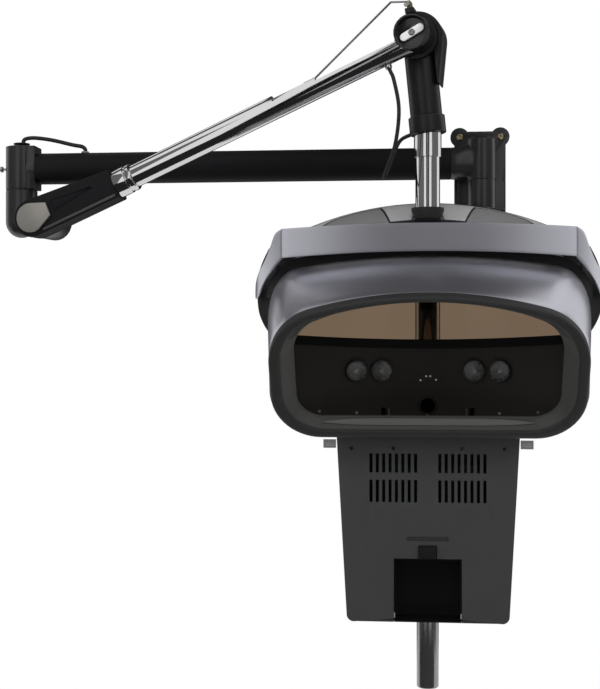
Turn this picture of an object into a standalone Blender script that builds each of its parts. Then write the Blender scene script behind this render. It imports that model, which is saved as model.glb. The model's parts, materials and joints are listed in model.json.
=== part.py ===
"""Hanging hair steamer: wall bracket, swivel boom, balanced arm, plumb pole and hood unit.

Metres, +Z up. The origin is the centre of the wall plate's back face, +Y points into the wall
and the hood faces -Y. The unit's own pieces are placed from the pole's axis and the unit datum.
"""

from math import atan2, cos, hypot, pi, radians, sin, sqrt, tan

import bmesh
import bpy
from mathutils import Matrix, Vector

# Clearances
GAP = 0.0003
RUNNING = 0.0005
WELD = 0.00001

# Wall bracket
SWIVEL_REACH = 0.065
PLATE_THICKNESS = 0.010
WALL_SCREW_X = 0.0315
WALL_SCREW_Z = 0.058
WALL_SCREW_LOW_Z = -0.072
EAR_RADIUS = 0.0145
EAR_HALF_SPAN = radians(100)
WALL_SCREW_SHANK = 0.0028
WALL_SCREW_HEAD = 0.0050
WALL_SCREW_CROWN = 0.0035
SCREW_HEAD_HEIGHT = 0.0028
BLOCK_WIDTH = 0.070
BLOCK_DEPTH = 0.044
BLOCK_HEIGHT = 0.0425
SWIVEL_PIN_RADIUS = 0.008
PIN_HEAD_RADIUS = 0.013
PIN_HEAD_HEIGHT = 0.003
WASHER_THICKNESS = 0.002

# Boom
BOOM_Z = 0.009
BOOM_LENGTH = 0.718
BOOM_RADIUS = 0.0243
BOOM_WALL = 0.003
HUB_RADIUS = 0.0215
HUB_ABOVE = 0.036
HUB_BELOW = 0.026
HUB_CAP_HEIGHT = 0.003
FLARE_LENGTH = 0.046
FLARE_STRAIGHT = 0.0092
FLARE_STEP = 0.003
FLARE_HALF_DEPTH = 0.017
SPIGOT_LENGTH = 0.022
POST_RADIUS = 0.0245
POST_ABOVE = 0.0345
POST_BELOW = 0.0325
POST_FLAT = 0.0262
POST_FLAT_HALF = 0.01895
POST_CAP_RADIUS = 0.0128
POST_CAP_HEIGHT = 0.0058
POST_CAP_RIM = 0.0017
POST_CAP_NECK = 0.0096
LOCK_SCREW_RADIUS = 0.0018
LOCK_SCREW_HEAD = 0.0046
LOCK_SCREW_REACH = 0.0095
LOCK_SCREW_NECK = 0.0057
LOCK_SCREW_SEAT = 0.008
JUMPER_RADIUS = 0.0031
GROMMET_RADIUS = 0.0062
GROMMET_HEIGHT = 0.0022
GROMMET_X = 0.1022
CORD_MOUTH = 0.6
JUMPER_RISE = ((0.0030, 0.0), (0.0030, 0.0030), (0.0075, 0.0066), (0.0225, 0.0075), (0.0500, 0.0035),
               (0.0810, -0.0040))
JUMPER_FALL = ((-0.0052, 0.0075), (0.0, 0.0030), (0.0, 0.0))

# Elbow and balanced arm
ARM_YAW = radians(9.8)
ARM_RISE = radians(22.86)
ARM_PIVOT_Z = -0.0746
HUB_REACH = 0.048
ARM_OFFSET = 0.045
ARM_LENGTH = 0.635
ELBOW_PIN_RADIUS = 0.008
ELBOW_BOSS_RADIUS = 0.028
ELBOW_BOSS_BACK = 0.022
ELBOW_LINK_HALF = 0.020
ELBOW_LINK_START = 0.0092
ELBOW_LINK_SET_BACK = 0.00045
ARM_PIN_RADIUS = 0.007
CASING_HALF_DEPTH = 0.018
CASING_RADIUS = 0.029
CASING_LENGTH = 0.143
CASING_END_HALF = 0.0225
CASING_CORNER = 0.005
CASING_SOCKET = 0.040
CAP_RADIUS = 0.0222
CAP_THICKNESS = 0.004
CAP_TIP_X = 0.032
CAP_TIP_LOW = -0.010
CAP_TIP_HIGH = 0.011
ARM_TUBE_RADIUS = 0.017
ARM_TUBE_WALL = 0.0025
ARM_TUBE_DROP = 0.0075
COLLAR_LENGTH = 0.030
COLLAR_RADIUS = 0.0212
COLLAR_EDGE = 0.0015
COLLAR_EDGE_LENGTH = 0.002
TROUGH_START = 0.413
TROUGH_LEVEL = 0.0055
SPRING_RADIUS = 0.0085
SPRING_WIRE = 0.0012
SPRING_TURNS = 20
SLIDER_INNER = 0.385
SLIDER_OUTER = 0.482
SLIDER_HALF_WIDTH = 0.0068
SLIDER_LOW = 0.0045
SLIDER_HIGH = 0.0118
STRAP_HALF_WIDTH = 0.006
STRAP_THICKNESS = 0.0016
STRAP_FOOT = 0.018
STRAP_APEX_X = 0.6237
STRAP_APEX_Z = 0.0553
STRAP_END_X = 0.6476
STRAP_END_Z = 0.0440
STRAP_TAB = 0.0085
GLAND_X = 0.585
GLAND_RADIUS = 0.0052
GLAND_LENGTH = 0.006
GLAND_STRAIGHT = 0.0030
GLAND_NOSE = 0.0039

# Knuckle and stem
RING_RADIUS = 0.0256
RING_BORE = 0.0218
RING_FRONT = 0.018
RING_BACK = 0.0165
RING_RECESS = 0.010
KNUCKLE_RADIUS = 0.0310
KNUCKLE_HALF_DEPTH = 0.0265
KNUCKLE_PIN_RADIUS = 0.006
LEVER_LENGTH = 0.038
LEVER_HALF_WIDTH = 0.0058
LEVER_THICKNESS = 0.004
LEVER_ANGLE = radians(23)
COVER_THICKNESS = 0.0072
COVER_HALF_DEPTH = 0.021
COVER_START = radians(108)
COVER_TURN = radians(-8)
COVER_TAIL = 0.068
LUG_RADIUS = 0.0295
LUG_HEIGHT = 0.0075
LUG_HALF_WIDTH = 0.0065
LUG_ANGLE = radians(92)
STEM_LEAN = radians(5.8)
STEM_DROP = 0.128
STEM_RADIUS = 0.0232
STEM_WALL = 0.003
STEM_END = 0.1105
STEM_COLLAR_RADIUS = 0.0265
STEM_COLLAR_HEIGHT = 0.025

# Pole
POLE_RADIUS = 0.0159
POLE_WALL = 0.002
POLE_HEAD_RADIUS = 0.0178
POLE_HEAD_HEIGHT = 0.006
SLEEVE_RADIUS = 0.0199
SLEEVE_TOP = 0.006
SLEEVE_BOTTOM = 0.042
SLEEVE_LIP = 0.012
SLEEVE_BORE = 0.0183
UNIT_DROP = 0.3115
POLE_END = 0.378
POLE_TIP = 0.495
TIP_SPIGOT = 0.020

# Service cable between the arm's gland and the sleeve
CABLE_RADIUS = 0.00275
CABLE_ROUTE = ((-0.0452, -0.042, 0.0640), (-0.0407, -0.042, 0.0305), (-0.0415, -0.040, 0.0011),
               (-0.0470, -0.034, -0.0309), (-0.0568, -0.023, -0.0566), (-0.0630, -0.004, -0.0695),
               (-0.0585, 0.015, -0.0575), (-0.0470, 0.022, -0.0260), (-0.0380, 0.022, -0.0115))
CABLE_END_CLEAR = 0.0006
CABLE_END_SIDE = 0.78
CABLE_END_BACK = 0.0185
CABLE_END_Z = -0.0040

# Hood unit
MOUTH_TILT = radians(31.7)
MOUTH_BOTTOM_Y = -0.110
MOUTH_BOTTOM_Z = -0.127
MOUTH_HALF = 0.211
MOUTH_HEIGHT = 0.2216
MOUTH_ARCH = 0.046
MOUTH_LOW_CORNER = 0.066
MOUTH_HIGH_CORNER = 0.085
RIM_SIDE = 0.034
RIM_TOP = 0.012
RIM_BOTTOM = 0.028
RIM_DEPTH = 0.020
RIM_EDGE = 0.004
RIM_LAND_SIDE = 0.010
RIM_LAND_TOP = 0.0064
HOOD_WALL = 0.003
HOOD_BULGE = 0.005
HOOD_BACK_Y = -0.070
HOOD_BACK_FLARE = 0.003
HOOD_BACK_HALF = MOUTH_HALF + HOOD_BACK_FLARE
HOOD_BACK_BOTTOM = -0.116
HOOD_BACK_TOP = 0.142
HOOD_BACK_ARCH = 0.020
HOOD_BACK_CORNER = 0.030
HOOD_BACK_LOW_CORNER = 0.050
BAND_WALL = 0.003
BAND_Y = -0.112
BAND_SAG = 0.010
BAND_CREASE = 0.200
BAND_TOP = 0.1655
BAND_BOTTOM = 0.1270
BAND_TOP_DROP = 0.006
BAND_BOTTOM_DROP = 0.008
WING_X = 0.2455
WING_DEPTH = 0.075
WING_SHOULDER = 0.0505
WING_TIP = 0.018
WING_TIP_SHARE = 0.70
WING_END = 0.020
WING_SWEEP = 1.44
WING_TUCK = 0.012
WING_TUCK_Z = 0.075
COVER_WALL = 0.003
COVER_HALF = 0.228
COVER_FRONT_HALF = 0.196
COVER_CROWN_RADIUS = 0.463
COVER_FRONT_FLAT = 0.75
COVER_FRONT_Y = -0.0985
COVER_CREST_Y = 0.045
COVER_BACK_Y = 0.072
COVER_FRONT_Z = 0.1535
COVER_LEDGE_Z = 0.1745
COVER_CREST_Z = 0.207
COVER_BACK_Z = 0.150
BOOT_TOP_RADIUS = 0.0236
BOOT_FOOT_RADIUS = 0.0175
BOOT_HEIGHT = 0.019
BOOT_RIM = 0.004
WINDOW_HALF = 0.198
LINER_TAPER = 0.010
LINER_HALF = WINDOW_HALF - LINER_TAPER
LINER_WALL = 0.0025
LINER_Y = -0.042
LINER_BEND = 0.062
LINER_BEND_POWER = 2.4
LINER_ROW_SHARES = (1.0, 0.65, 0.3, 0.0)
LINER_TOP = -0.003
LINER_TOP_RISE = 0.007
LINER_FLOOR = -0.102
LINER_FRONT_Y = -0.1075
LINER_FILLET = 0.003
WINDOW_WALL = 0.003
WINDOW_TOP = 0.106
WINDOW_SAG = 0.026
WINDOW_TOP_HALF = 0.158
GASKET_HEIGHT = 0.010
GASKET_THICKNESS = 0.004
LAMP_INNER_X = 0.0655
LAMP_OUTER_X = 0.1015
LAMP_Z = -0.0375
LAMP_RADIUS = 0.0158
LAMP_LIP = 0.0022
LAMP_DEPTH = 0.006
LENS_CROWN = 0.0054
LENS_SHOULDER = 0.0048
LENS_EDGE = 0.0030
LENS_SHOULDER_SHARE = 0.6
LAMP_SEAT = 1.15
OUTLET_Z = -0.0862
OUTLET_RADIUS = 0.0114
OUTLET_FLANGE = 0.0128
OUTLET_LENGTH = 0.022
OUTLET_WALL = 0.002
HOOD_REAR_Y = 0.034
HOOD_REAR_HALF = 0.150
REAR_LIFT = 0.0084
REAR_BEHIND = 0.0080
HOOD_REAR_FRONT_HALF = 0.160

# Body box
BODY_FRONT_Y = -0.072
BODY_BACK_Y = 0.070
BODY_TOP = -0.120
BODY_BOTTOM = -0.3875
BODY_TOP_HALF = 0.1275
BODY_BOTTOM_HALF = 0.1130
BODY_CORNER = 0.010
BODY_WALL = 0.003
PANEL_THICKNESS = 0.003
PANEL_ARCH = 0.0060
VENT_PITCH = 0.00886
VENT_WIDTH = 0.0042
VENT_COUNT = 8
VENT_INNER_X = 0.0168
VENT_ROWS = ((-0.1655, 0.0265), (-0.2045, 0.0310))
BAY_HALF = 0.0468
BAY_TOP = -0.2985
BAY_DEPTH = 0.046
BAY_WALL = 0.002
LATCH_HALF = 0.0122
LATCH_HEIGHT = 0.0180
LATCH_DEPTH = 0.009
LATCH_PROUD = 0.003
EAR_OUT = 0.018
EAR_DROP = 0.013
EAR_HEIGHT = 0.012
EAR_THICKNESS = 0.003
LABEL_HALF = 0.0285
LABEL_HEIGHT = 0.005
LABEL_Z = -0.2705
LABEL_THICKNESS = 0.0008
CLAMP_RADIUS = 0.027
CLAMP_HEIGHT = 0.030
CLAMP_Z = -0.150
CLAMP_ARM_HALF = 0.0135
CLAMP_ARM_START = 0.0216
TANK_DEPTH = 0.070
TANK_HEIGHT = 0.110
TANK_CORNER = 0.004
GENERATOR_RADIUS = 0.026
GENERATOR_HEIGHT = 0.120
BOARD_THICKNESS = 0.0016
BOARD_HEIGHT = 0.070
BOARD_HALF = 0.0749

ROUND = 24
SMALL_ROUND = 16
X_AXIS = (0.0, pi / 2, 0.0)
Y_AXIS = (-pi / 2, 0.0, 0.0)

PARTS = "hanging_hair_steamer"
CUTTERS = "cutters"

FINISHES = {
    "black_paint": ((0.012, 0.012, 0.014), 0.38, 0.0),
    "black_gloss": ((0.006, 0.006, 0.007), 0.18, 0.0),
    "chrome": ((0.62, 0.62, 0.63), 0.12, 1.0),
    "brushed_steel": ((0.42, 0.41, 0.39), 0.34, 1.0),
    "brass_zinc": ((0.55, 0.50, 0.36), 0.35, 1.0),
    "silver_paint": ((0.30, 0.30, 0.34), 0.34, 0.35),
    "pale_grey": ((0.33, 0.325, 0.33), 0.45, 0.0),
    "dark_grey": ((0.030, 0.030, 0.032), 0.50, 0.0),
    "liner_black": ((0.012, 0.011, 0.010), 0.45, 0.0),
    "rubber": ((0.010, 0.010, 0.011), 0.70, 0.0),
    "amber": ((0.36, 0.22, 0.11), 0.15, 0.0),
    "lens": ((0.20, 0.20, 0.20), 0.15, 0.0),
    "board_green": ((0.02, 0.11, 0.05), 0.50, 0.0),
    "clear_tank": ((0.55, 0.60, 0.62), 0.20, 0.0),
}


def clear_scene():
    """Remove every object, then make the two collections."""
    for item in list(bpy.data.objects):
        bpy.data.objects.remove(item, do_unlink=True)
    for title in (PARTS, CUTTERS):
        group = bpy.data.collections.new(title)
        bpy.context.scene.collection.children.link(group)


def finish(name):
    """Return the Principled material of a named finish."""
    material = bpy.data.materials.get(name)
    if material is None:
        colour, roughness, metallic = FINISHES[name]
        material = bpy.data.materials.new(name)
        material.use_nodes = True
        shader = material.node_tree.nodes["Principled BSDF"]
        shader.inputs["Base Color"].default_value = (*colour, 1.0)
        shader.inputs["Roughness"].default_value = roughness
        shader.inputs["Metallic"].default_value = metallic
        material.diffuse_color = (*colour, 1.0)
    return material


def empty(name, parent, location, rotation=(0.0, 0.0, 0.0)):
    """Add an empty that carries one body's pieces."""
    holder = bpy.data.objects.new(name, None)
    bpy.data.collections[PARTS].objects.link(holder)
    holder.parent = parent
    holder.location = location
    holder.rotation_euler = rotation
    return holder


def place(name, mesh, parent, look, location=(0.0, 0.0, 0.0), rotation=(0.0, 0.0, 0.0)):
    """Make an object of a mesh; with no look it is a hidden helper that cuts or fills."""
    item = bpy.data.objects.new(name, mesh)
    item.parent = parent
    item.location = location
    item.rotation_euler = rotation
    if look is None:
        bpy.data.collections[CUTTERS].objects.link(item)
        item.hide_render = True
        item.display_type = "WIRE"
    else:
        bpy.data.collections[PARTS].objects.link(item)
        mesh.materials.clear()
        mesh.materials.append(finish(look))
    return item


def smooth(mesh, angle=radians(35)):
    """Shade a mesh smooth up to an edge angle."""
    mesh.shade_smooth()
    mesh.set_sharp_from_angle(angle=angle)


def block_mesh(name, low, high):
    """Return a box mesh between two corners."""
    mesh = bpy.data.meshes.new(name)
    form = bmesh.new()
    bmesh.ops.create_cube(form, size=1.0)
    size = Vector(high) - Vector(low)
    middle = (Vector(high) + Vector(low)) / 2
    bmesh.ops.scale(form, vec=size, verts=form.verts)
    bmesh.ops.translate(form, vec=middle, verts=form.verts)
    form.to_mesh(mesh)
    form.free()
    return mesh


def cylinder_mesh(name, radius, length, segments=ROUND, far_radius=None):
    """Return a cylinder or cone about Z, from z = 0 to z = length."""
    mesh = bpy.data.meshes.new(name)
    form = bmesh.new()
    top = radius if far_radius is None else far_radius
    bmesh.ops.create_cone(form, cap_ends=True, segments=segments, radius1=radius, radius2=top, depth=length)
    bmesh.ops.translate(form, vec=(0.0, 0.0, length / 2), verts=form.verts)
    form.to_mesh(mesh)
    form.free()
    smooth(mesh)
    return mesh


def turned_mesh(name, profile, steps=ROUND, closed=False):
    """Return a profile of (radius, z) points, outer side from top to bottom, turned about Z."""
    line = bpy.data.meshes.new(name + "_profile")
    points = [(radius, 0.0, z) for radius, z in profile]
    edges = [(i, i + 1) for i in range(len(points) - 1)]
    if closed:
        edges.append((len(points) - 1, 0))
    line.from_pydata(points, edges, [])
    item = bpy.data.objects.new(name + "_profile", line)
    bpy.context.scene.collection.objects.link(item)
    screw = item.modifiers.new("turn", "SCREW")
    screw.steps = steps
    screw.render_steps = steps
    screw.use_merge_vertices = True
    screw.merge_threshold = WELD
    return baked(item, name)


def pipe_mesh(name, outer, inner, length, steps=ROUND):
    """Return a plain tube about Z, from z = 0 to z = length."""
    profile = [(outer, length), (outer, 0.0), (inner, 0.0), (inner, length)]
    return turned_mesh(name, profile, steps, closed=True)


def baked(item, name):
    """Return the evaluated mesh of a helper object, with its doubles merged, and remove the helper."""
    bpy.context.view_layer.update()
    graph = bpy.context.evaluated_depsgraph_get()
    mesh = bpy.data.meshes.new_from_object(item.evaluated_get(graph))
    bpy.data.objects.remove(item, do_unlink=True)
    mesh.name = name
    form = bmesh.new()
    form.from_mesh(mesh)
    bmesh.ops.remove_doubles(form, verts=form.verts, dist=WELD)
    bmesh.ops.recalc_face_normals(form, faces=form.faces)
    form.to_mesh(mesh)
    form.free()
    smooth(mesh)
    return mesh


def plate_mesh(name, outline, thickness):
    """Return a flat outline in XY, extruded by half its thickness to each side of z = 0."""
    curve = bpy.data.curves.new(name, "CURVE")
    curve.dimensions = "2D"
    curve.fill_mode = "BOTH"
    curve.extrude = thickness / 2
    spline = curve.splines.new("POLY")
    spline.points.add(len(outline) - 1)
    for point, (x, y) in zip(spline.points, outline):
        point.co = (x, y, 0.0, 1.0)
    spline.use_cyclic_u = True
    item = bpy.data.objects.new(name, curve)
    bpy.context.scene.collection.objects.link(item)
    return baked(item, name)


def loft_mesh(name, loops, capped):
    """Return a skin over loops of equal length: capped at both ends, or closed back on itself."""
    mesh = bpy.data.meshes.new(name)
    form = bmesh.new()
    rings = [[form.verts.new(point) for point in loop] for loop in loops]
    count = len(rings[0])
    last = len(rings) - 1 if capped else len(rings)
    for i in range(last):
        near, far = rings[i], rings[(i + 1) % len(rings)]
        for k in range(count):
            following = (k + 1) % count
            form.faces.new((near[k], near[following], far[following], far[k]))
    if capped:
        form.faces.new(rings[0])
        form.faces.new(rings[-1])
    bmesh.ops.recalc_face_normals(form, faces=form.faces)
    form.to_mesh(mesh)
    form.free()
    smooth(mesh)
    return mesh


def sheet_mesh(name, rows, wall):
    """Return a grid of points, thickened by half its wall to each side."""
    mesh = bpy.data.meshes.new(name)
    width = len(rows[0])
    points = [point for row in rows for point in row]
    faces = []
    for r in range(len(rows) - 1):
        for k in range(width - 1):
            corner = r * width + k
            faces.append((corner, corner + 1, corner + width + 1, corner + width))
    mesh.from_pydata(points, [], faces)
    item = bpy.data.objects.new(name, mesh)
    bpy.context.scene.collection.objects.link(item)
    solidify = item.modifiers.new("wall", "SOLIDIFY")
    solidify.thickness = wall
    solidify.offset = 0.0
    solidify.use_even_offset = True
    return baked(item, name)


def cable_mesh(name, points, radius, resolution=2):
    """Return a round cable with filled ends through a list of points."""
    curve = bpy.data.curves.new(name, "CURVE")
    curve.dimensions = "3D"
    curve.bevel_depth = radius
    curve.bevel_resolution = resolution
    curve.use_fill_caps = True
    spline = curve.splines.new("POLY")
    spline.points.add(len(points) - 1)
    for point, place_at in zip(spline.points, points):
        point.co = (*place_at, 1.0)
    item = bpy.data.objects.new(name, curve)
    bpy.context.scene.collection.objects.link(item)
    return baked(item, name)


def copies_mesh(name, mesh, matrices):
    """Return one mesh that holds a copy of a mesh at each matrix."""
    form = bmesh.new()
    for matrix in matrices:
        before = len(form.verts)
        form.from_mesh(mesh)
        form.verts.ensure_lookup_table()
        bmesh.ops.transform(form, matrix=matrix, verts=form.verts[before:])
    group = bpy.data.meshes.new(name)
    form.to_mesh(group)
    form.free()
    smooth(group)
    return group


def boolean(item, helper, operation):
    """Cut or join an object with a hidden helper."""
    modifier = item.modifiers.new(helper.name, "BOOLEAN")
    modifier.operation = operation
    modifier.object = helper
    modifier.solver = "EXACT"


def cut(item, helper):
    """Take a helper's volume out of an object."""
    boolean(item, helper, "DIFFERENCE")


def join(item, helper):
    """Add a helper's volume to an object."""
    boolean(item, helper, "UNION")


def round_edges(item, width, segments=2):
    """Round an object's sharp edges."""
    bevel = item.modifiers.new("edges", "BEVEL")
    bevel.width = width
    bevel.segments = segments
    bevel.limit_method = "ANGLE"
    bevel.angle_limit = radians(40)


def arc(centre, radius, start, end, count):
    """Return points on an arc from one angle to another, both ends included."""
    cx, cy = centre
    angles = [start + (end - start) * k / count for k in range(count + 1)]
    return [(cx + radius * cos(a), cy + radius * sin(a)) for a in angles]


def ellipse(x, half_y, half_z, middle=0.0, count=ROUND):
    """Return a loop in the YZ plane at x, about a middle height."""
    turns = [2 * pi * k / count for k in range(count)]
    return [(x, half_y * cos(a), middle + half_z * sin(a)) for a in turns]


def curve_through(points, steps):
    """Return points on a smooth curve through a route's own points."""
    route = [Vector(point) for point in points]
    ends = [2 * route[0] - route[1], *route, 2 * route[-1] - route[-2]]
    smooth_points = []
    for i in range(1, len(ends) - 2):
        a, b, c, d = ends[i - 1], ends[i], ends[i + 1], ends[i + 2]
        for k in range(steps):
            t = k / steps
            second = 2 * a - 5 * b + 4 * c - d
            third = 3 * b - a - 3 * c + d
            smooth_points.append((2 * b + (c - a) * t + second * t**2 + third * t**3) / 2)
    smooth_points.append(route[-1])
    return smooth_points


def eased(t):
    """Return a smooth step from 0 to 1."""
    t = min(max(t, 0.0), 1.0)
    return t * t * (3 - 2 * t)


def make_wall_bracket(wall):
    """Build the fixed bracket: plate, block with barrel, swivel pin and wall screws."""
    centres = [(WALL_SCREW_X, WALL_SCREW_Z), (-WALL_SCREW_X, WALL_SCREW_Z)]
    centres += [(-WALL_SCREW_X, WALL_SCREW_LOW_Z), (WALL_SCREW_X, WALL_SCREW_LOW_Z)]
    outline = []
    for k, centre in enumerate(centres):
        middle = pi / 4 + k * pi / 2
        outline += arc(centre, EAR_RADIUS, middle - EAR_HALF_SPAN, middle + EAR_HALF_SPAN, 12)
    mesh = plate_mesh("wall_plate", outline, PLATE_THICKNESS)
    plate = place("wall_plate", mesh, wall, "black_paint", (0, -PLATE_THICKNESS / 2, 0), (pi / 2, 0, 0))
    hole = cylinder_mesh("wall_hole", WALL_SCREW_SHANK + GAP, 2 * PLATE_THICKNESS, SMALL_ROUND)
    turn = Matrix.Rotation(pi / 2, 4, "X")
    spots = [Matrix.Translation((x, PLATE_THICKNESS / 2, z)) @ turn for x, z in centres]
    cut(plate, place("wall_holes_cutter", copies_mesh("wall_holes", hole, spots), wall, None))

    face = PLATE_THICKNESS + GAP
    screw = turned_mesh(
        "wall_screw",
        [(0, SCREW_HEAD_HEIGHT), (WALL_SCREW_CROWN, SCREW_HEAD_HEIGHT),
         (WALL_SCREW_HEAD, SCREW_HEAD_HEIGHT / 2), (WALL_SCREW_HEAD, 0), (WALL_SCREW_SHANK, 0),
         (WALL_SCREW_SHANK, -PLATE_THICKNESS), (0, -PLATE_THICKNESS)], SMALL_ROUND)
    for k, (x, z) in enumerate(centres, 1):
        place(f"wall_screw_{k}", screw, wall, "brass_zinc", (x, -face, z), (pi / 2, 0, 0))

    top = BOOM_Z - HUB_BELOW - RUNNING
    bottom = top - BLOCK_HEIGHT
    low = (-BLOCK_WIDTH / 2, -face - BLOCK_DEPTH, bottom)
    high = (BLOCK_WIDTH / 2, -face, top)
    block = place("bracket_block", block_mesh("bracket_block", low, high), wall, "black_paint")
    barrel = cylinder_mesh("barrel", HUB_RADIUS, BLOCK_HEIGHT)
    join(block, place("barrel_helper", barrel, wall, None, (0, -SWIVEL_REACH, bottom)))
    bore = cylinder_mesh("barrel_bore", SWIVEL_PIN_RADIUS + GAP, BLOCK_HEIGHT * 2)
    cut(block, place("barrel_bore_cutter", bore, wall, None, (0, -SWIVEL_REACH, bottom - BLOCK_HEIGHT / 2)))

    pin_length = BLOCK_HEIGHT + HUB_BELOW + HUB_ABOVE
    pin = turned_mesh(
        "swivel_pin",
        [(0, pin_length), (SWIVEL_PIN_RADIUS, pin_length), (SWIVEL_PIN_RADIUS, -GAP),
         (PIN_HEAD_RADIUS, -GAP), (PIN_HEAD_RADIUS, -GAP - PIN_HEAD_HEIGHT),
         (0, -GAP - PIN_HEAD_HEIGHT)], SMALL_ROUND)
    place("swivel_pin", pin, wall, "brushed_steel", (0, -SWIVEL_REACH, bottom))


def make_boom(boom):
    """Build the boom: capped hub with its flare, and the tube."""
    bore = SWIVEL_PIN_RADIUS + RUNNING
    cap = HUB_ABOVE + HUB_CAP_HEIGHT
    hub = turned_mesh(
        "boom_hub",
        [(0, cap), (HUB_RADIUS - 2 * HUB_CAP_HEIGHT, cap), (HUB_RADIUS - HUB_CAP_HEIGHT, HUB_ABOVE),
         (HUB_RADIUS, HUB_ABOVE), (HUB_RADIUS, -HUB_BELOW), (bore, -HUB_BELOW), (bore, HUB_ABOVE),
         (0, HUB_ABOVE)])
    hub = place("boom_hub", hub, boom, "black_paint")
    start = SWIVEL_PIN_RADIUS + 2 * RUNNING
    flare_end = BOOM_RADIUS + GAP
    bore = BOOM_RADIUS - BOOM_WALL - GAP
    middle = (HUB_ABOVE - HUB_BELOW) / 2
    flare_half = (HUB_ABOVE + HUB_BELOW) / 2 - FLARE_STEP
    waist_depth = (FLARE_HALF_DEPTH + flare_end) / 2
    waist_height = (flare_half + flare_end) / 2
    flare = loft_mesh("flare", [
        ellipse(-start, FLARE_HALF_DEPTH, flare_half, middle),
        ellipse(-HUB_RADIUS - FLARE_STEP, waist_depth, waist_height, middle / 2),
        ellipse(FLARE_STRAIGHT - FLARE_LENGTH, flare_end, flare_end),
        ellipse(-FLARE_LENGTH, flare_end, flare_end),
        ellipse(-FLARE_LENGTH, bore, bore),
        ellipse(-FLARE_LENGTH - SPIGOT_LENGTH, bore, bore)], capped=True)
    join(hub, place("flare_helper", flare, boom, None))
    tube_start = FLARE_LENGTH + GAP
    tube_end = BOOM_LENGTH - POST_FLAT - GAP
    tube = pipe_mesh("boom_tube", BOOM_RADIUS, BOOM_RADIUS - BOOM_WALL, tube_end - tube_start)
    tube = place("boom_tube", tube, boom, "black_paint", (-tube_end, 0, 0), X_AXIS)
    hole = cylinder_mesh("jumper_hole", JUMPER_RADIUS + 2 * GAP, 2 * BOOM_RADIUS, SMALL_ROUND)
    cut(tube, place("jumper_hole_cutter", hole, boom, None, (GROMMET_X - BOOM_LENGTH, 0, 0)))


def make_elbow_top(boom):
    """Build the boom's far end: post, top cap, lock screw, jumper cable and its grommet."""
    height = POST_ABOVE + POST_BELOW
    axis = (-BOOM_LENGTH, 0, -POST_BELOW)
    post = place("elbow_post", cylinder_mesh("elbow_post", POST_RADIUS, height), boom, "black_paint", axis)
    low = (-BOOM_LENGTH, -POST_FLAT_HALF, -POST_BELOW)
    high = (-BOOM_LENGTH + POST_FLAT, POST_FLAT_HALF, POST_ABOVE)
    join(post, place("post_flat_helper", block_mesh("post_flat", low, high), boom, None))
    spigot = cylinder_mesh("post_spigot", BOOM_RADIUS - BOOM_WALL - GAP, POST_FLAT + SPIGOT_LENGTH)
    join(post, place("post_spigot_helper", spigot, boom, None, (-BOOM_LENGTH, 0, 0), X_AXIS))
    bore = cylinder_mesh("post_bore", ELBOW_PIN_RADIUS + RUNNING, 2 * height)
    cut(post, place("post_bore_cutter", bore, boom, None, (-BOOM_LENGTH, 0, -height)))
    seat = cylinder_mesh("lock_seat", LOCK_SCREW_RADIUS + GAP, LOCK_SCREW_SEAT + POST_RADIUS, SMALL_ROUND)
    seat_x = -BOOM_LENGTH - 2 * POST_RADIUS
    cut(post, place("lock_seat_cutter", seat, boom, None, (seat_x, 0, 0), X_AXIS))

    cap = turned_mesh(
        "elbow_top_cap",
        [(0, POST_CAP_HEIGHT), (POST_CAP_RADIUS, POST_CAP_HEIGHT),
         (POST_CAP_RADIUS, POST_CAP_HEIGHT - POST_CAP_RIM), (POST_CAP_NECK, POST_CAP_HEIGHT / 2),
         (POST_CAP_RADIUS, 0), (0, 0)])
    place("elbow_top_cap", cap, boom, "black_gloss", (-BOOM_LENGTH, 0, POST_ABOVE + GAP))
    tip = LOCK_SCREW_SEAT - GAP
    screw = turned_mesh(
        "elbow_lock_screw",
        [(0, tip), (LOCK_SCREW_RADIUS, tip), (LOCK_SCREW_RADIUS, -LOCK_SCREW_NECK),
         (LOCK_SCREW_HEAD, -LOCK_SCREW_NECK), (LOCK_SCREW_HEAD, -LOCK_SCREW_REACH),
         (0, -LOCK_SCREW_REACH)], SMALL_ROUND)
    place("elbow_lock_screw", screw, boom, "brushed_steel", (-BOOM_LENGTH - POST_RADIUS, 0, 0), X_AXIS)

    start_z = POST_ABOVE + POST_CAP_HEIGHT + 4 * GAP
    end_z = BOOM_RADIUS + GROMMET_HEIGHT + 2 * GAP
    route = [(x, 0, start_z + z) for x, z in JUMPER_RISE]
    route += [(GROMMET_X + x, 0, end_z + z) for x, z in JUMPER_FALL]
    cable = cable_mesh("elbow_cable", curve_through(route, 3), JUMPER_RADIUS)
    place("elbow_cable", cable, boom, "rubber", (-BOOM_LENGTH, 0, 0))
    saddle = sqrt(BOOM_RADIUS**2 - GROMMET_RADIUS**2)
    foot = BOOM_RADIUS - saddle
    mouth = JUMPER_RADIUS * CORD_MOUTH
    grommet = pipe_mesh("boom_grommet", GROMMET_RADIUS, mouth, GROMMET_HEIGHT + foot, SMALL_ROUND)
    grommet = place("boom_grommet", grommet, boom, "brushed_steel", (GROMMET_X - BOOM_LENGTH, 0, saddle))
    seat = cylinder_mesh("grommet_seat", BOOM_RADIUS + GAP, 4 * GROMMET_RADIUS)
    seat_x = GROMMET_X - BOOM_LENGTH - 2 * GROMMET_RADIUS
    cut(grommet, place("grommet_seat_cutter", seat, boom, None, (seat_x, 0, 0), X_AXIS))


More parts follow.
